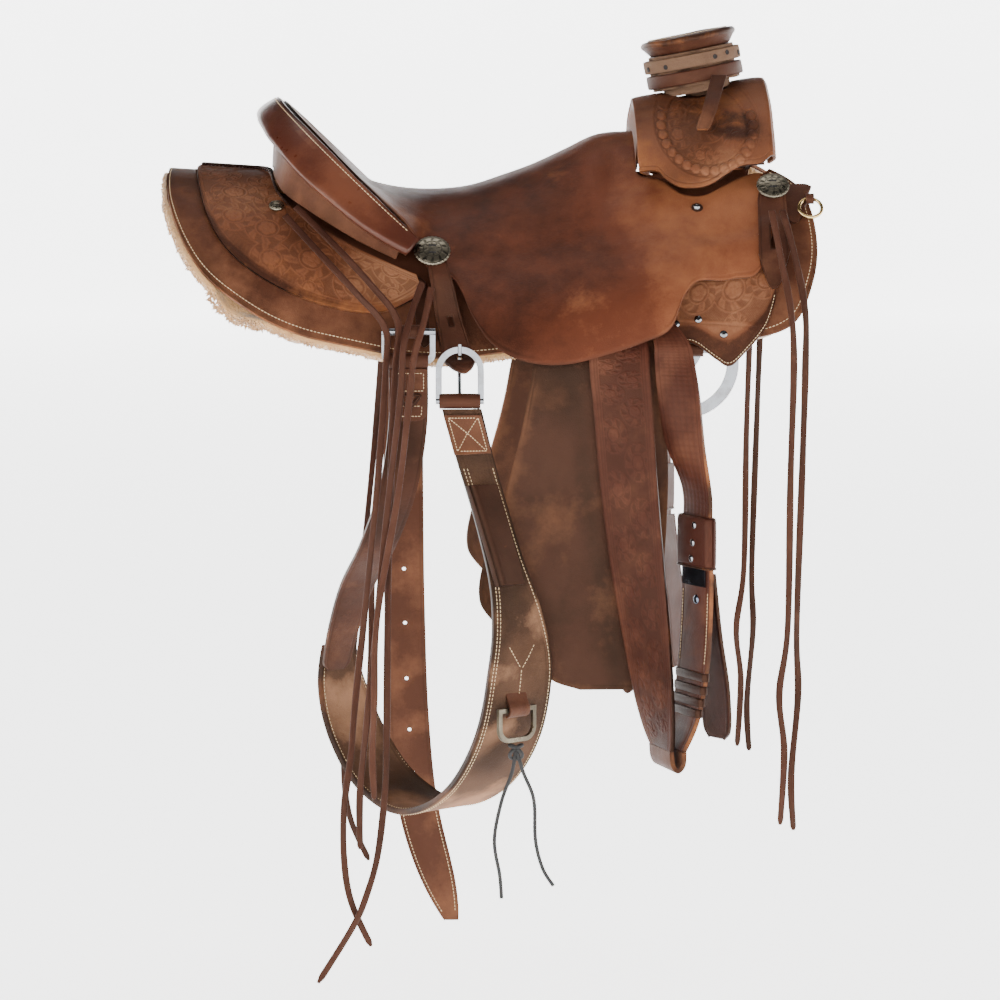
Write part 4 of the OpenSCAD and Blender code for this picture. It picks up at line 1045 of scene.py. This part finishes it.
# ---- conchos and keepers --------------------------------------------------------------------------


def place_on_side(P, x, phi, h):
    """From the concho's own frame, Z outward, to its place on the right side."""
    n = unit(np.array([0, -sin(phi) / curve(HALF_LINE, x), cos(phi) / curve(DEEP_LINE, x)]))
    down = np.array([0, n[2], -n[1]])
    return side(np.float64(x), np.float64(phi), h) + P[..., :1] * [1, 0, 0] + P[..., 1:2] * down + P[..., 2:] * n


def concho(name, x, phi, h, r, scallops, replaced=(), slots=True):
    """A domed silver disc of radius r on both sides, engraved and scalloped, with two slots for the strings."""
    rr = np.concatenate([[0], np.linspace(0.03, 0.97, 34), [1, 1.0, 0.985]]) * r
    prof = [[q, 5.4 - 3.4 * (q / r) ** 2.4] for q in rr[:-2]] + [[r, 1.2], [0.985 * r, 0]]
    n = 160

    def carve(R, A, Z):
        q = R / r
        top = q < 0.985
        cut = bump(q, 0.86, 0.02) + bump(q, 0.5, 0.02)
        cut = cut + 0.8 * (np.abs(cos(A * scallops / 2)) < 0.22) * ease((q - 0.86) / 0.05)
        cut = cut + (0.8 * ease((np.cos(np.radians(A * 10 + 260 * q)) - 0.35) / 0.4) * ease((q - 0.53) / 0.05)
                     * ease((0.83 - q) / 0.05))
        cut = cut + (0.6 * ease((np.cos(np.radians(A * 8 - 160 * q)) - 0.5) / 0.3) * ease((q - 0.16) / 0.05)
                     * ease((0.47 - q) / 0.04))
        edge = 1 - 0.035 * np.abs(sin(A * scallops / 2)) ** 0.6 * (q > 0.93)
        return R * edge, Z - 0.42 * cut * top

    pts, F, R, A = spin(prof, n, carve)
    plain = np.repeat(np.array(prof)[:, 1], n)
    cut = np.clip((plain - pts[:, 2]) / 0.42, 0, 1)
    for side_name, s in SIDES:
        add_mesh(f"{name}.{side_name}", place_on_side(pts, x, phi, h), F, "silver", node=replaced if s > 0 else (),
                 slot="old_silver", attrs={"cut": 0.85 * cut}, mirror=s)
        if slots:
            # each string slot is a dark plate laid on the dome: painted shade standing for the opening
            for k in (-1, 1):
                p = rounded(8.4, 2.0, 0.9, 5)
                p = np.concatenate([np.column_stack([p, 0 * p[:, 0] + z]) for z in (4.0, 5.5)])
                p = p + [0, k * 0.24 * r, 0]
                m = len(p) // 2
                add_mesh(f"{name}_slot.{side_name}.{'a' if k > 0 else 'b'}", place_on_side(p, x, phi, h) * [1, s, 1],
                         [*[list(f) for f in quads(1, m, loop=True)], list(range(m, 2 * m))], "hole")


def rounded(w, h, r, n=6):
    """Outline of a rounded rectangle in its own plane."""
    x, y = w / 2 - r, h / 2 - r
    c = [(x, y, 0), (-x, y, 90), (-x, -y, 180), (x, -y, 270)]
    return np.array([[x + r * math.cos(math.radians(a + 90 * k / n)), y + r * math.sin(math.radians(a + 90 * k / n))]
                     for x, y, a in c for k in range(n + 1)])


concho("front_concho", 311, 35.5, 18.6, 19, 24, ("conchos",))
concho("rear_concho", -76, 39, 32.5, 21, 28)
concho("jockey_concho", -252, 26.6, 11, 9, 14, slots=False)
for name, s in SIDES:
    for label, prof, material in (("washer", [[0, 0.9], [5.4, 0.9], [6.4, 0.4], [6.6, 0]], "edge"),
                                  ("screw", [[0, 4.6], [1.6, 4.3], [3.2, 3.2], [4.2, 1.6], [4.4, 0.7]], "steel")):
        pts, F, _, _ = spin(prof, 36)
        add_mesh(f"fork_{label}.{name}", place_on_side(pts, 225, 36.5, 13), F, material, mirror=s)

latigo = layer([[293, 38], [301, 33], [309, 32], [317, 33], [325, 38]],
               [[290, 52], [298, 58], [306, 59.8], [315, 58], [326, 52]],
               lambda x, phi, v: 13 + 4 * ease((phi - 42) / 5) + 3.6)
flank = layer([[-86, 38], [-81, 35.5], [-76, 35], [-71, 35.5], [-66, 38]],
              [[-64, 61.5], [-54, 64], [-42, 65], [-34, 64], [-29, 61.5]],
              lambda x, phi, v: 27.5 - 18.5 * ease((phi - 44) / 9) + 22 * ease((phi - 59.5) / 5) + 3.6)


def keeper(name, surface, slots, node):
    """A leather keeper on both sides; slots are (u0, u1, v0, v1) openings through it."""
    us, vs = np.linspace(0, 1, 41), np.linspace(0, 1, 97)
    cu, cv = (us[:-1] + us[1:]) / 2, (vs[:-1] + vs[1:]) / 2
    keep = np.ones((40, 96), bool)
    for u0, u1, v0, v1 in slots:
        keep &= ~((cu > u0) & (cu < u1))[:, None] | ~((cv > v0) & (cv < v1))[None, :]

    def relief(u, v, P):
        gap = edge_gap(surface, u, v)
        lip = 0.0
        for u0, u1, v0, v1 in slots:
            far = np.hypot(np.maximum(0, np.abs(u - (u0 + u1) / 2) - (u1 - u0) / 2) * 36,
                           np.maximum(0, np.abs(v - (v0 + v1) / 2) - (v1 - v0) / 2) * 150)
            lip = lip - 0.5 * bump(far, 0, 1.4)
        return crease(gap, 3.6, 0.7, 0.45) + lip + 0.35 * lumps(P, 40, 91)

    for side_name, s in SIDES:
        hide(f"{name}.{side_name}", surface, us, vs, 3.4, "strap", node=node if s > 0 else (), slot="strap_leather",
             mirror=s, outward=-1, keep=keep, relief=relief, tone=lambda u, v, P: 0.1 + 0.25 * lumps(P, 50, 93),
             wear=lambda u, v, P: 0.15 + 0.25 * lumps(P, 30, 95))


keeper("latigo_keeper", latigo, [(0.42, 0.58, 0.5, 0.7)], "latigo_keepers")
keeper("flank_keeper", flank, [(0.42, 0.58, 0.565, 0.622), (0.42, 0.58, 0.815, 0.872)], "flank_keepers")
tab = layer([[-98, 43], [-91, 42], [-84, 43]], [[-94, 56], [-87, 58], [-79, 57]], lambda x, phi, v: 9.6)
for name, s in SIDES:
    hide(f"flank_tab.{name}", tab, np.linspace(0, 1, 13), np.linspace(0, 1, 40), 3, "edge", mirror=s, outward=-1)
    hide(f"breast_tab.{name}", layer([[326, 33.5], [334, 33], [342, 33], [350, 33.2], [356, 34]],
                [[326, 43], [331, 44], [336, 44], [341, 43], [345, 40]], lambda x, phi, v: SKIRT_T + 4.2),
                np.linspace(0, 1, 24), np.linspace(0, 1, 30), 3.4, "strap", mirror=s, outward=-1,
                relief=lambda u, v, P: crease(np.minimum(np.minimum(u, 1 - u) * 28, (1 - v) * 45), 3, 0.7, 0.35))

# ---- fenders and stirrup leathers ---------------------------------------------------------------------

FENDER_T = 4
HANG = [[-480, -246], [-128, -246], [-100, -236.6], [-68, -216.5]]
FENDER_REAR = [[-487, 88], [-478, 60], [-455, 32], [-420, 0], [-386, -25], [-330, -18], [-262, 4], [-202, 20],
               [-150, 30], [-100, 42], [-68, 66]]
FENDER_FRONT = [[-487, 158], [-400, 176], [-260, 186], [-170, 182], [-125, 176], [-90, 170], [-68, 158]]


def fender(u, v):
    z = mix(-487, -68, u)
    return np.stack([mix(curve(FENDER_REAR, z), curve(FENDER_FRONT, z), v), curve(HANG, z) - FENDER_T, z], -1)


def fender_relief(u, v, P):
    gap = edge_gap(fender, u, v)
    return crease(gap, 5, 0.9, 0.5) + 0.55 * lumps(P, 80, 101) - 0.7 * bump(gap, 0, 1.8)


def fender_tone_and_painted_shadow(u, v, P):
    # the dark band just behind the stirrup leather's rear edge is that strap's painted shadow on the fender
    return -0.1 + 0.2 * lumps(P, 100, 103) - 0.4 * bump(P[..., 0], 95 - 0.15 * (P[..., 2] + 250), 14)


def fender_wear(u, v, P):
    gap = edge_gap(fender, u, v)
    return 0.22 * lumps(P, 60, 105) + 0.5 * bump(gap, 0, 9) + 0.2 * bump(P[..., 2], -300, 120)


for name, s in SIDES:
    hide(f"fender.{name}", fender, np.linspace(0, 1, 190), np.linspace(0, 1, 100), FENDER_T, "fender",
         f"stirrup_{name}", f"fender_{name}", "fender_leather", s, -1, relief=fender_relief, tone=fender_tone_and_painted_shadow,
         wear=fender_wear)


def strap(route, turn, wide, thick, face=1):
    """Outer face (face 1) or inner face (face -1) of a strap along a route."""
    def surface(u, v):
        q = curve(turn, u)
        across = np.stack([cos(q), sin(q), 0 * q], -1)
        t = unit(path(route, np.minimum(1, u + 0.01)) - path(route, np.maximum(0, u - 0.01)))
        out = unit(np.cross(t, across))
        return path(route, u) + across * (curve(wide, u) * (0.5 - v))[..., None] + out * (face * thick / 2)
    return surface


RUN_TURN = [[0, 0], [0.12, 0], [0.4, -14], [0.6, -28], [0.8, -48], [1, -74]]
OUTER_RUN = [[128, -225.5, -68], [130, -250, -98], [131, -260, -128], [135, -263, -170], [141, -267.5, -250],
             [150, -275, -340], [160, -282, -420], [170, -287, -500], [177, -288, -546]]
BACK_RUN = [[191, -292, -546], [204, -290, -510], [213, -287, -450], [217, -284, -368], [217, -281, -300],
            [216, -280, -258], [203, -275, -206], [196, -269, -150], [192, -262, -116], [188, -255, -94],
            [172, -226, -68]]
BACK_TURN = [[0, -74], [0.2, -65], [0.5, -63], [0.62, -36], [0.75, -12], [0.88, 0], [1, 0]]
BACK_WIDE = [[0, 64], [0.35, 62], [0.5, 55], [0.75, 46], [0.88, 40], [1, 26]]
LOOP = [[177, -288, -546.5], [178.5, -289, -561], [184, -290, -568], [190, -291, -561], [191, -292, -546.5]]
TAIL_RUN = [[223, -279, -350], [230, -277, -420], [238, -276, -480], [241, -275, -538]]
LEATHER_W, LEATHER_T = 67, 5
outer_run = strap(OUTER_RUN, RUN_TURN, [[0, LEATHER_W], [1, LEATHER_W]], LEATHER_T)
back_run = strap(BACK_RUN, BACK_TURN, BACK_WIDE, LEATHER_T, -1)
loop_run = strap(LOOP, [[0, -74], [1, -74]], [[0, LEATHER_W], [1, LEATHER_W]], LEATHER_T)
tail_run = strap(TAIL_RUN, [[0, -63], [1, -54]], [[0, 50], [0.8, 48], [0.93, 42], [1, 26]], 4, -1)
RUN_LONG = 490
SCROLLS = [(13 * (-1) ** k, 34 + 27 * k - 3.2 * k * k / 10, 17 - 0.25 * k) for k in range(22)]


def run_relief(u, v, P):
    x, y = (0.5 - v) * LEATHER_W, u * RUN_LONG
    edge = (0.5 - np.abs(v - 0.5)) * LEATHER_W
    inside = ease((edge - 9.5) / 1.2)
    return (rosettes(x, y, SCROLLS, 0.7, 5) * inside + crease(edge, 8.2, 0.6, 0.55) + crease(edge, 5.6, 0.6, 0.45)
            - 0.5 * bump(edge, 0, 1.5))


def stamped(u, v, P):
    """Rows of small basket stamps between border lines."""
    edge = (0.5 - np.abs(v - 0.5)) * 48
    y, x = u * 500, (v - 0.5) * 48
    weave = np.abs(sin(y * 26 + 180 * (np.floor(x / 7) % 2))) ** 0.5 * np.abs(sin(x * 26)) ** 0.5
    return -0.4 * (1 - weave) * ease((edge - 6) / 1.5) * ease((u - 0.42) / 0.02) + crease(edge, 4.5, 0.6, 0.45)


for name, s in SIDES:
    body = f"stirrup_{name}"
    hide(f"stirrup_leather.outer.{name}", outer_run, np.linspace(0, 1, 400), np.linspace(0, 1, 64), LEATHER_T,
             "red_tooled", body, f"stirrup_leather_{name}", "tooled_leather", s, -1, relief=run_relief,
             tone=lambda u, v, P: 0.25 - 0.3 * u + 0.2 * lumps(P, 70, 111),
             wear=lambda u, v, P: 0.2 + 0.3 * lumps(P, 50, 113))
    hide(f"stirrup_leather.back.{name}", back_run, np.linspace(0, 1, 330), np.linspace(0, 1, 42), LEATHER_T,
         "red_tooled", body, mirror=s, outward=1, relief=stamped, tone=lambda u, v, P: 0.35 + 0.2 * lumps(P, 60, 115),
         wear=lambda u, v, P: 0.25 + 0.3 * lumps(P, 30, 117))
    hide(f"stirrup_leather.loop.{name}", loop_run, np.linspace(0, 1, 60), np.linspace(0, 1, 30), LEATHER_T,
         "strap", body, mirror=s, outward=-1, tone=0.1, wear=0.2)
    hide(f"stirrup_leather.tail.{name}", tail_run, np.linspace(0, 1, 70), np.linspace(0, 1, 30), 4, "red_tooled", body,
         mirror=s, outward=1, tone=-0.3, wear=0.1,
         relief=lambda u, v, P: crease((0.5 - np.abs(v - 0.5)) * 46, 3.2, 0.7, 0.5))
    line = np.linspace(0.2, 0.3, 90)
    for edge_at in (0, 1):
        sew_on((body, f"stitching.{body}"), back_run, line, inset(back_run, line, edge_at, 4), mirror=s, pitch=3.8)


def belt(name, C, A, wide, thick, tall, material, body, s, wall=2.2, flare=0.0, slot=None, node=()):
    """Band of leather or metal that goes round a strap: C its centre, A the strap's width direction."""
    A = unit(np.array([*A, 0.0]))
    B = np.cross([0, 0, 1], A)
    rows = []
    for z, grow in ((-0.5, 0), (-0.47, 0.75), (-0.4, 1), (0, 1 + flare), (0.4, 1), (0.47, 0.75), (0.5, 0), (0.49, -1),
                    (-0.49, -1)):
        r = min(thick / 2, 5.5)
        p = rounded(wide + 2 * wall * grow, thick + 2 * wall * grow, r + wall * max(grow, -0.5))
        rows.append(np.array(C) + p[:, :1] * A + p[:, 1:] * B + [0, 0, z * tall])
    m = len(rows[0])
    P = np.stack(rows)
    F = quads(len(rows), m, loop=True)
    F = np.where(F >= len(rows) * m, F - len(rows) * m, F)
    return outward_faces(add_mesh(name, P, F, material, body, node, slot, mirror=s))


def turn_dir(q):
    return math.cos(math.radians(q)), math.sin(math.radians(q))


SLEEVE_TURN, SLEEVE_AT, SLEEVE_TALL = -63, np.array([216, -282, -315]), 57
SLEEVE_WIDE, SLEEVE_OUT = np.array([*turn_dir(SLEEVE_TURN), 0]), np.array([-0.891, -0.454, 0])
RIVET, RIVET_FACES, _, _ = spin([[0, 2.4], [2.4, 2.2], [4.4, 1.4], [5.3, 0.3], [5.4, 0]], 32)
RIVET = RIVET @ np.array([SLEEVE_WIDE, [0, 0, 1], SLEEVE_OUT])
RIVET_FACES = RIVET_FACES[:, ::-1]

for name, s in SIDES:
    body, sleeve = f"stirrup_{name}", f"sleeve_{name}"
    for k in range(4):
        u = np.float64(0.112 + 0.0225 * k)
        belt(f"wrap_band.{k}.{name}", path(BACK_RUN, u), turn_dir(curve(BACK_TURN, u)), curve(BACK_WIDE, u) + 1.5,
             6.6, 9.6, "edge", body, s, 1.4, 0.15, "strap_leather")
    at = path(BACK_RUN, np.float64(0.285)) + SLEEVE_OUT * 2.6 + SLEEVE_WIDE * 2
    add_mesh(f"strap_rivet.{name}", RIVET + at, RIVET_FACES, "dark_steel", body, mirror=s)
    belt(f"buckle_sleeve.{name}", SLEEVE_AT, SLEEVE_WIDE[:2], 65, 11, SLEEVE_TALL, "red_tooled", sleeve, s, 2.0, 0.1,
         "strap_leather", f"buckle_sleeve_{name}")
    belt(f"sleeve_edge.{name}", SLEEVE_AT + [0, 0, -28.2], SLEEVE_WIDE[:2], 65.2, 11.2, 2.6, "edge", sleeve, s, 2.2)
    for k, z in enumerate((19, -1, -19)):
        at = SLEEVE_AT + SLEEVE_OUT * 7.4 + SLEEVE_WIDE * (6 - 3 * k) + [0, 0, z]
        add_mesh(f"sleeve_rivet.{k}.{name}", RIVET * 0.8 + at, RIVET_FACES, "steel", sleeve, mirror=s)

# ---- billets and flank cinch ---------------------------------------------------------------------------


def sew_box(key, surface, u0, u1, v0, v1, outward, mirror=1, cross=False, **how):
    e = np.linspace(0, 1, 60)
    for a, b, c, d in ((u0, v0, u1, v0), (u1, v0, u1, v1), (u1, v1, u0, v1), (u0, v1, u0, v0)):
        sew_on(key, surface, mix(a, c, e), mix(b, d, e), outward, mirror, **how)
    if cross:
        for a, b, c, d in ((u0, v0, u1, v1), (u0, v1, u1, v0)):
            sew_on(key, surface, mix(a, c, e), mix(b, d, e), outward, mirror, **how)


def leather_loop(name, C, long, s, material="strap", outer=8.6, inner=4.7, **where):
    """The turned end of a strap round a ring's bar, along X through C."""
    end = long / 2
    prof = [(-end, inner), (-end, outer - 0.8), (-end + 0.8, outer), (0, outer + 0.2), (end - 0.8, outer),
            (end, outer - 0.8), (end, inner)]
    n = 48
    a = np.arange(n) * 360 / n
    P = np.stack([np.stack([np.full(n, x), r * sin(a), r * cos(a)], -1) for x, r in prof]) + C
    F = quads(len(prof), n, loop=True)
    F = np.where(F >= len(prof) * n, F - len(prof) * n, F)
    add_mesh(name, P, F, material, mirror=s, **where)


BILLET_Z, BILLET_TOP = -117, -124.5
RIGHT_BILLET = [[-104, -232, BILLET_TOP], [-105, -232, -190], [-116, -215, -262], [-138, -170, -330],
                [-162, -110, -385], [-178, -76, -440], [-188, -60, -490]]
right_billet = strap(RIGHT_BILLET, [[0, 0], [0.4, 8], [1, 40]], [[0, 44], [0.95, 38], [1, 26]], 5)
leather_loop("rear_billet.right.loop", [-104, -232, BILLET_Z], 44, 1)
hide("rear_billet.right", right_billet, np.linspace(0, 1, 220), np.linspace(0, 1, 34), 5, "strap",
         node="rear_billet_right", slot="strap_leather", outward=-1,
         relief=lambda u, v, P: crease((0.5 - np.abs(v - 0.5)) * 42, 3.4, 0.7, 0.4) + 0.3 * lumps(P, 60, 121),
         tone=lambda u, v, P: -0.1 + 0.25 * lumps(P, 60, 123), wear=0.15)
pad = strap([[-104, -235.2, BILLET_TOP - 1], [-104.5, -235.4, -160], [-105, -234.8, -184]], [[0, 0], [1, 3]],
            [[0, 42], [0.75, 42], [0.93, 34], [1, 20]], 4.4)
hide("rear_billet.right.lap", pad, np.linspace(0, 1, 50), np.linspace(0, 1, 30), 4, "strap", outward=-1, tone=0.15,
     wear=0.2)
sew_box((ROOT, "stitching.billet"), pad, 0.1, 0.36, 0.1, 0.9, -1, pitch=3.6, length=2.7)
sew_box((ROOT, "stitching.billet"), pad, 0.62, 0.84, 0.14, 0.86, -1, pitch=3.6, length=2.7)
for k, (a, b) in enumerate((((-0.45, 0.4), (0.45, 0.42)), ((0.45, 0.42), (0.02, 0.68)), ((0.02, 0.68), (-0.45, 0.4)))):
    e = np.linspace(0, 1, 14)
    C, _, _, N = frame_of(pad, mix(a[1], b[1], e), 0.5 - mix(a[0], b[0], e) * 0.7)
    tube(f"billet_thong.{k}", C - N * 1.3, lambda u, q: (1.9 * cos(q), 1.5 * sin(q)), 8, "edge")

LEFT_BILLET = [[-104, -232, BILLET_TOP], [-104, -232, -300], [-103, -232, -450], [-98, -232, -600],
               [-84, -232, -720], [-46, -232, -850]]
left_billet, left_inside = (strap(LEFT_BILLET, [[0, 0], [1, 0]], [[0, 48], [0.8, 50], [0.9, 44], [1, 18]], 5, face)
                            for face in (1, -1))
leather_loop("rear_billet.left.loop", [-104, -232, BILLET_Z], 48, -1, body="rear_billet_left")
holes = [(u, 0.5, 2.6, 2.6) for u in (0.255, 0.345, 0.435, 0.525, 0.615, 0.705)]
hide("rear_billet.left", left_billet, np.linspace(0, 1, 300), np.linspace(0, 1, 25), 5, "strap", "rear_billet_left",
     "rear_billet_left", "strap_leather", -1, -1, holes=holes,
     relief=lambda u, v, P: crease((0.5 - np.abs(v - 0.5)) * 48, 3.4, 0.7, 0.4),
     tone=lambda u, v, P: 0.05 + 0.25 * lumps(P, 80, 127), wear=lambda u, v, P: 0.2 + 0.3 * lumps(P, 40, 129))
line = np.linspace(0.78, 0.975, 300)
for edge_at in (0, 1):
    for face, outward in ((left_billet, -1), (left_inside, 1)):
        sew_on(("rear_billet_left", "stitching.left_billet"), face, line, inset(left_billet, line, edge_at, 4.5),
               outward, -1)

CINCH = [[-45, -246, -170], [-30, -256, -228], [-6, -276, -310], [14, -288, -390], [18, -286, -460],
         [4, -268, -540], [-30, -228, -604], [-78, -170, -634], [-124, -114, -618], [-160, -70, -570],
         [-180, -48, -510], [-184, -44, -462]]
CINCH_TURN = [[0, 0], [0.12, 16], [0.3, 36], [1, 40]]
CINCH_WIDE = [[0, 44], [0.2, 46], [0.3, 74], [0.38, 94], [0.6, 98], [0.85, 80], [1, 46]]
CINCH_T = 7
cinch = strap(CINCH, CINCH_TURN, CINCH_WIDE, CINCH_T)
cinch_back = strap(CINCH, CINCH_TURN, CINCH_WIDE, CINCH_T, -1)


def cinch_tone(u, v, P):
    low = ease((u - 0.42) / 0.2)
    return -0.35 + 0.7 * low + 0.45 * lumps(P, 60, 131) - 0.6 * bump(np.minimum(v, 1 - v), 0, 0.04)


def cinch_relief(u, v, P):
    edge = (0.5 - np.abs(v - 0.5)) * curve(CINCH_WIDE, u)
    return (crease(edge, 4.6, 0.9, 0.4) + crease(edge, 8.6, 0.9, 0.3) - 0.9 * bump(edge, 0, 1.6)
            + 0.4 * lumps(P, 50, 133))


hide("flank_cinch", cinch, np.linspace(0, 1, 420), np.linspace(0, 1, 60), CINCH_T, "cinch", node="flank_cinch",
     slot="rough_leather", outward=-1, relief=cinch_relief, tone=cinch_tone,
     wear=lambda u, v, P: 0.35 * ease((u - 0.42) / 0.15) + 0.4 * lumps(P, 40, 135))
line = np.linspace(0.1, 0.97, 1500)
for edge_at in (0, 1):
    sew_on((ROOT, "stitching.cinch"), cinch, line, inset(cinch, line, edge_at, 4.6), -1)
    sew_on((ROOT, "stitching.cinch"), cinch_back, line, inset(cinch, line, edge_at, 4.6), 1)
sew_on((ROOT, "stitching.cinch"), cinch, line, inset(cinch, line, 1, 8.8), -1)
patch = strap([[-44.5, -252.6, -176], [-39, -256, -196], [-33, -260.5, -219]], [[0, 0], [1, 12]],
              [[0, 42], [1, 42]], 3.4)
hide("cinch_patch", patch, np.linspace(0, 1, 40), np.linspace(0, 1, 40), 3, "strap", outward=-1, tone=0.4, wear=0.2)
sew_box((ROOT, "stitching.cinch"), patch, 0.12, 0.9, 0.1, 0.9, -1, cross=True, pitch=3.4, length=2.5)
for a, b, c, d in ((0.325, 0.28, 0.36, 0.5), (0.325, 0.72, 0.36, 0.5), (0.36, 0.5, 0.4, 0.5)):
    e = np.linspace(0, 1, 30)
    sew_on((ROOT, "stitching.cinch"), cinch, mix(a, c, e), mix(b, d, e), -1)
leather_loop("flank_cinch.loop", [-47, -244, -161], 46, 1, "strap", 8.4, 3.6)
POCKET = [path(CINCH, np.float64(u)) + [0, -9.5, 0] for u in (0.12, 0.15, 0.18, 0.21, 0.24)]
pocket = strap(POCKET, [[0, 16], [1, 30]], [[0, 34], [1, 34]], 6)
# the pocket's tone is lighter along its ridge at v = 0.8: a painted highlight on the ridge
hide("cinch_pocket", pocket, np.linspace(0, 1, 90), np.linspace(0, 1, 40), 6, "edge", node="cinch_pocket",
     slot="strap_leather", outward=-1, round_by=2.0,
     relief=lambda u, v, P: 0.9 * bump(v, 0.8, 0.07) - 0.9 * bump(v, 0.93, 0.05) + 0.3 * lumps(P, 30, 137),
     tone=lambda u, v, P: 0.2 * bump(v, 0.8, 0.08) - 0.2)
BAR, AWAY = np.array([15, -288.6, -502.5]), np.array([0.643, -0.766, 0])
tab_route = [list(BAR + AWAY * a + [0, 0, z]) for a, z in ((-3.6, 24), (0.5, 11), (5.0, 2), (3.4, -5), (-2, -8))]
hide("dee_keeper", strap(tab_route, [[0, 40], [1, 40]], [[0, 30], [1, 30]], 2.6), np.linspace(0, 1, 40),
     np.linspace(0, 1, 20), 2.4, "strap", outward=-1, tone=0.2, wear=0.2)

# ---- metal that keeps its exact shape ----------------------------------------------------------------------


def dress(names, material, bevel=0.5, segments=2):
    for n in names:
        o = NODES[n]
        o.data.materials.clear()
        o.data.materials.append(M[material])
        if bevel:
            b = o.modifiers.new("edge", "BEVEL")
            b.width, b.segments, b.limit_method, b.angle_limit = bevel / 1000, segments, "ANGLE", math.radians(40)


dress(["front_ring_left", "front_ring_right"], "steel", 1.0, 3)
dress(["rear_ring_left", "rear_ring_right", "flank_buckle"], "steel", 0.9, 3)
dress(["buckle_tongue"], "steel", 0)
dress(["stirrup_buckle_left", "stirrup_buckle_right"], "dark_steel", 0.4)
dress(["rigging_rivets"], "steel", 0)
dress(["cinch_dee"], "silver", 0.9, 3)
dress(["breast_dee_left", "breast_dee_right"], "brass", 0)
dress(["rigging_loops"], "strap", 0.6)
dress(["breast_tabs"], "strap", 0)
dress(["tree_bar_left", "tree_bar_right", "tree_fork", "tree_cantle"], "skirt", 1.0)
dress(["horn_post"], "rough", 1.0)
dress(["ground_seat"], "skirt", 0)

# ---- floor and light -----------------------------------------------------------------------------------------

FLOOR = -868
DISH_R, DISH_CURVE, DISH_TOP, DISH_N = 12000, 2000, 5000, 96
curve_a = np.linspace(0, 90, 12)
dish = [(r, FLOOR) for r in (1e-3, 3000, 7000, DISH_R)]
dish += [(DISH_R + DISH_CURVE * math.sin(math.radians(a)), FLOOR + DISH_CURVE * (1 - math.cos(math.radians(a))))
         for a in curve_a[1:]] + [(DISH_R + DISH_CURVE, DISH_TOP)]
pts = np.array([[r * math.cos(math.radians(a)), r * math.sin(math.radians(a)), z] for r, z in dish
                for a in np.arange(DISH_N) * 360 / DISH_N])
me = bpy.data.meshes.new("floor")
me.from_pydata((pts / 1000).tolist(), [], [list(map(int, f)) for f in quads(len(dish) - 1, DISH_N, loop=True)])
me.materials.append(M["floor"])
me.polygons.foreach_set("use_smooth", [True] * len(me.polygons))
floor = bpy.data.objects.new("floor", me)
bpy.context.scene.collection.objects.link(floor)


def softbox(name, at, aim, wide, tall, watts, colour=(1, 1, 1)):
    data = bpy.data.lights.new(name, "AREA")
    data.shape, data.size, data.size_y, data.energy, data.color = "RECTANGLE", wide, tall, watts, colour
    o = bpy.data.objects.new(name, data)
    o.location = at
    o.rotation_euler = (Vector(aim) - Vector(at)).to_track_quat("-Z", "Y").to_euler()
    bpy.context.scene.collection.objects.link(o)


softbox("overhead", (0.1, 0.5, 2.4), (0, 0, -0.1), 2.2, 1.2, 20)
softbox("key", (-1.9, -2.6, 1.5), (0, 0, -0.25), 1.4, 1.4, 16, (1.0, 0.985, 0.96))
softbox("fill", (2.4, -2.4, 0.6), (0, 0, -0.3), 1.8, 1.8, 3)
world = bpy.data.worlds.new("world")
world.use_nodes = True
world.node_tree.nodes["Background"].inputs[0].default_value = (1, 1, 1, 1)
world.node_tree.nodes["Background"].inputs[1].default_value = 0.1
bpy.context.scene.world = world

finish_sewing()
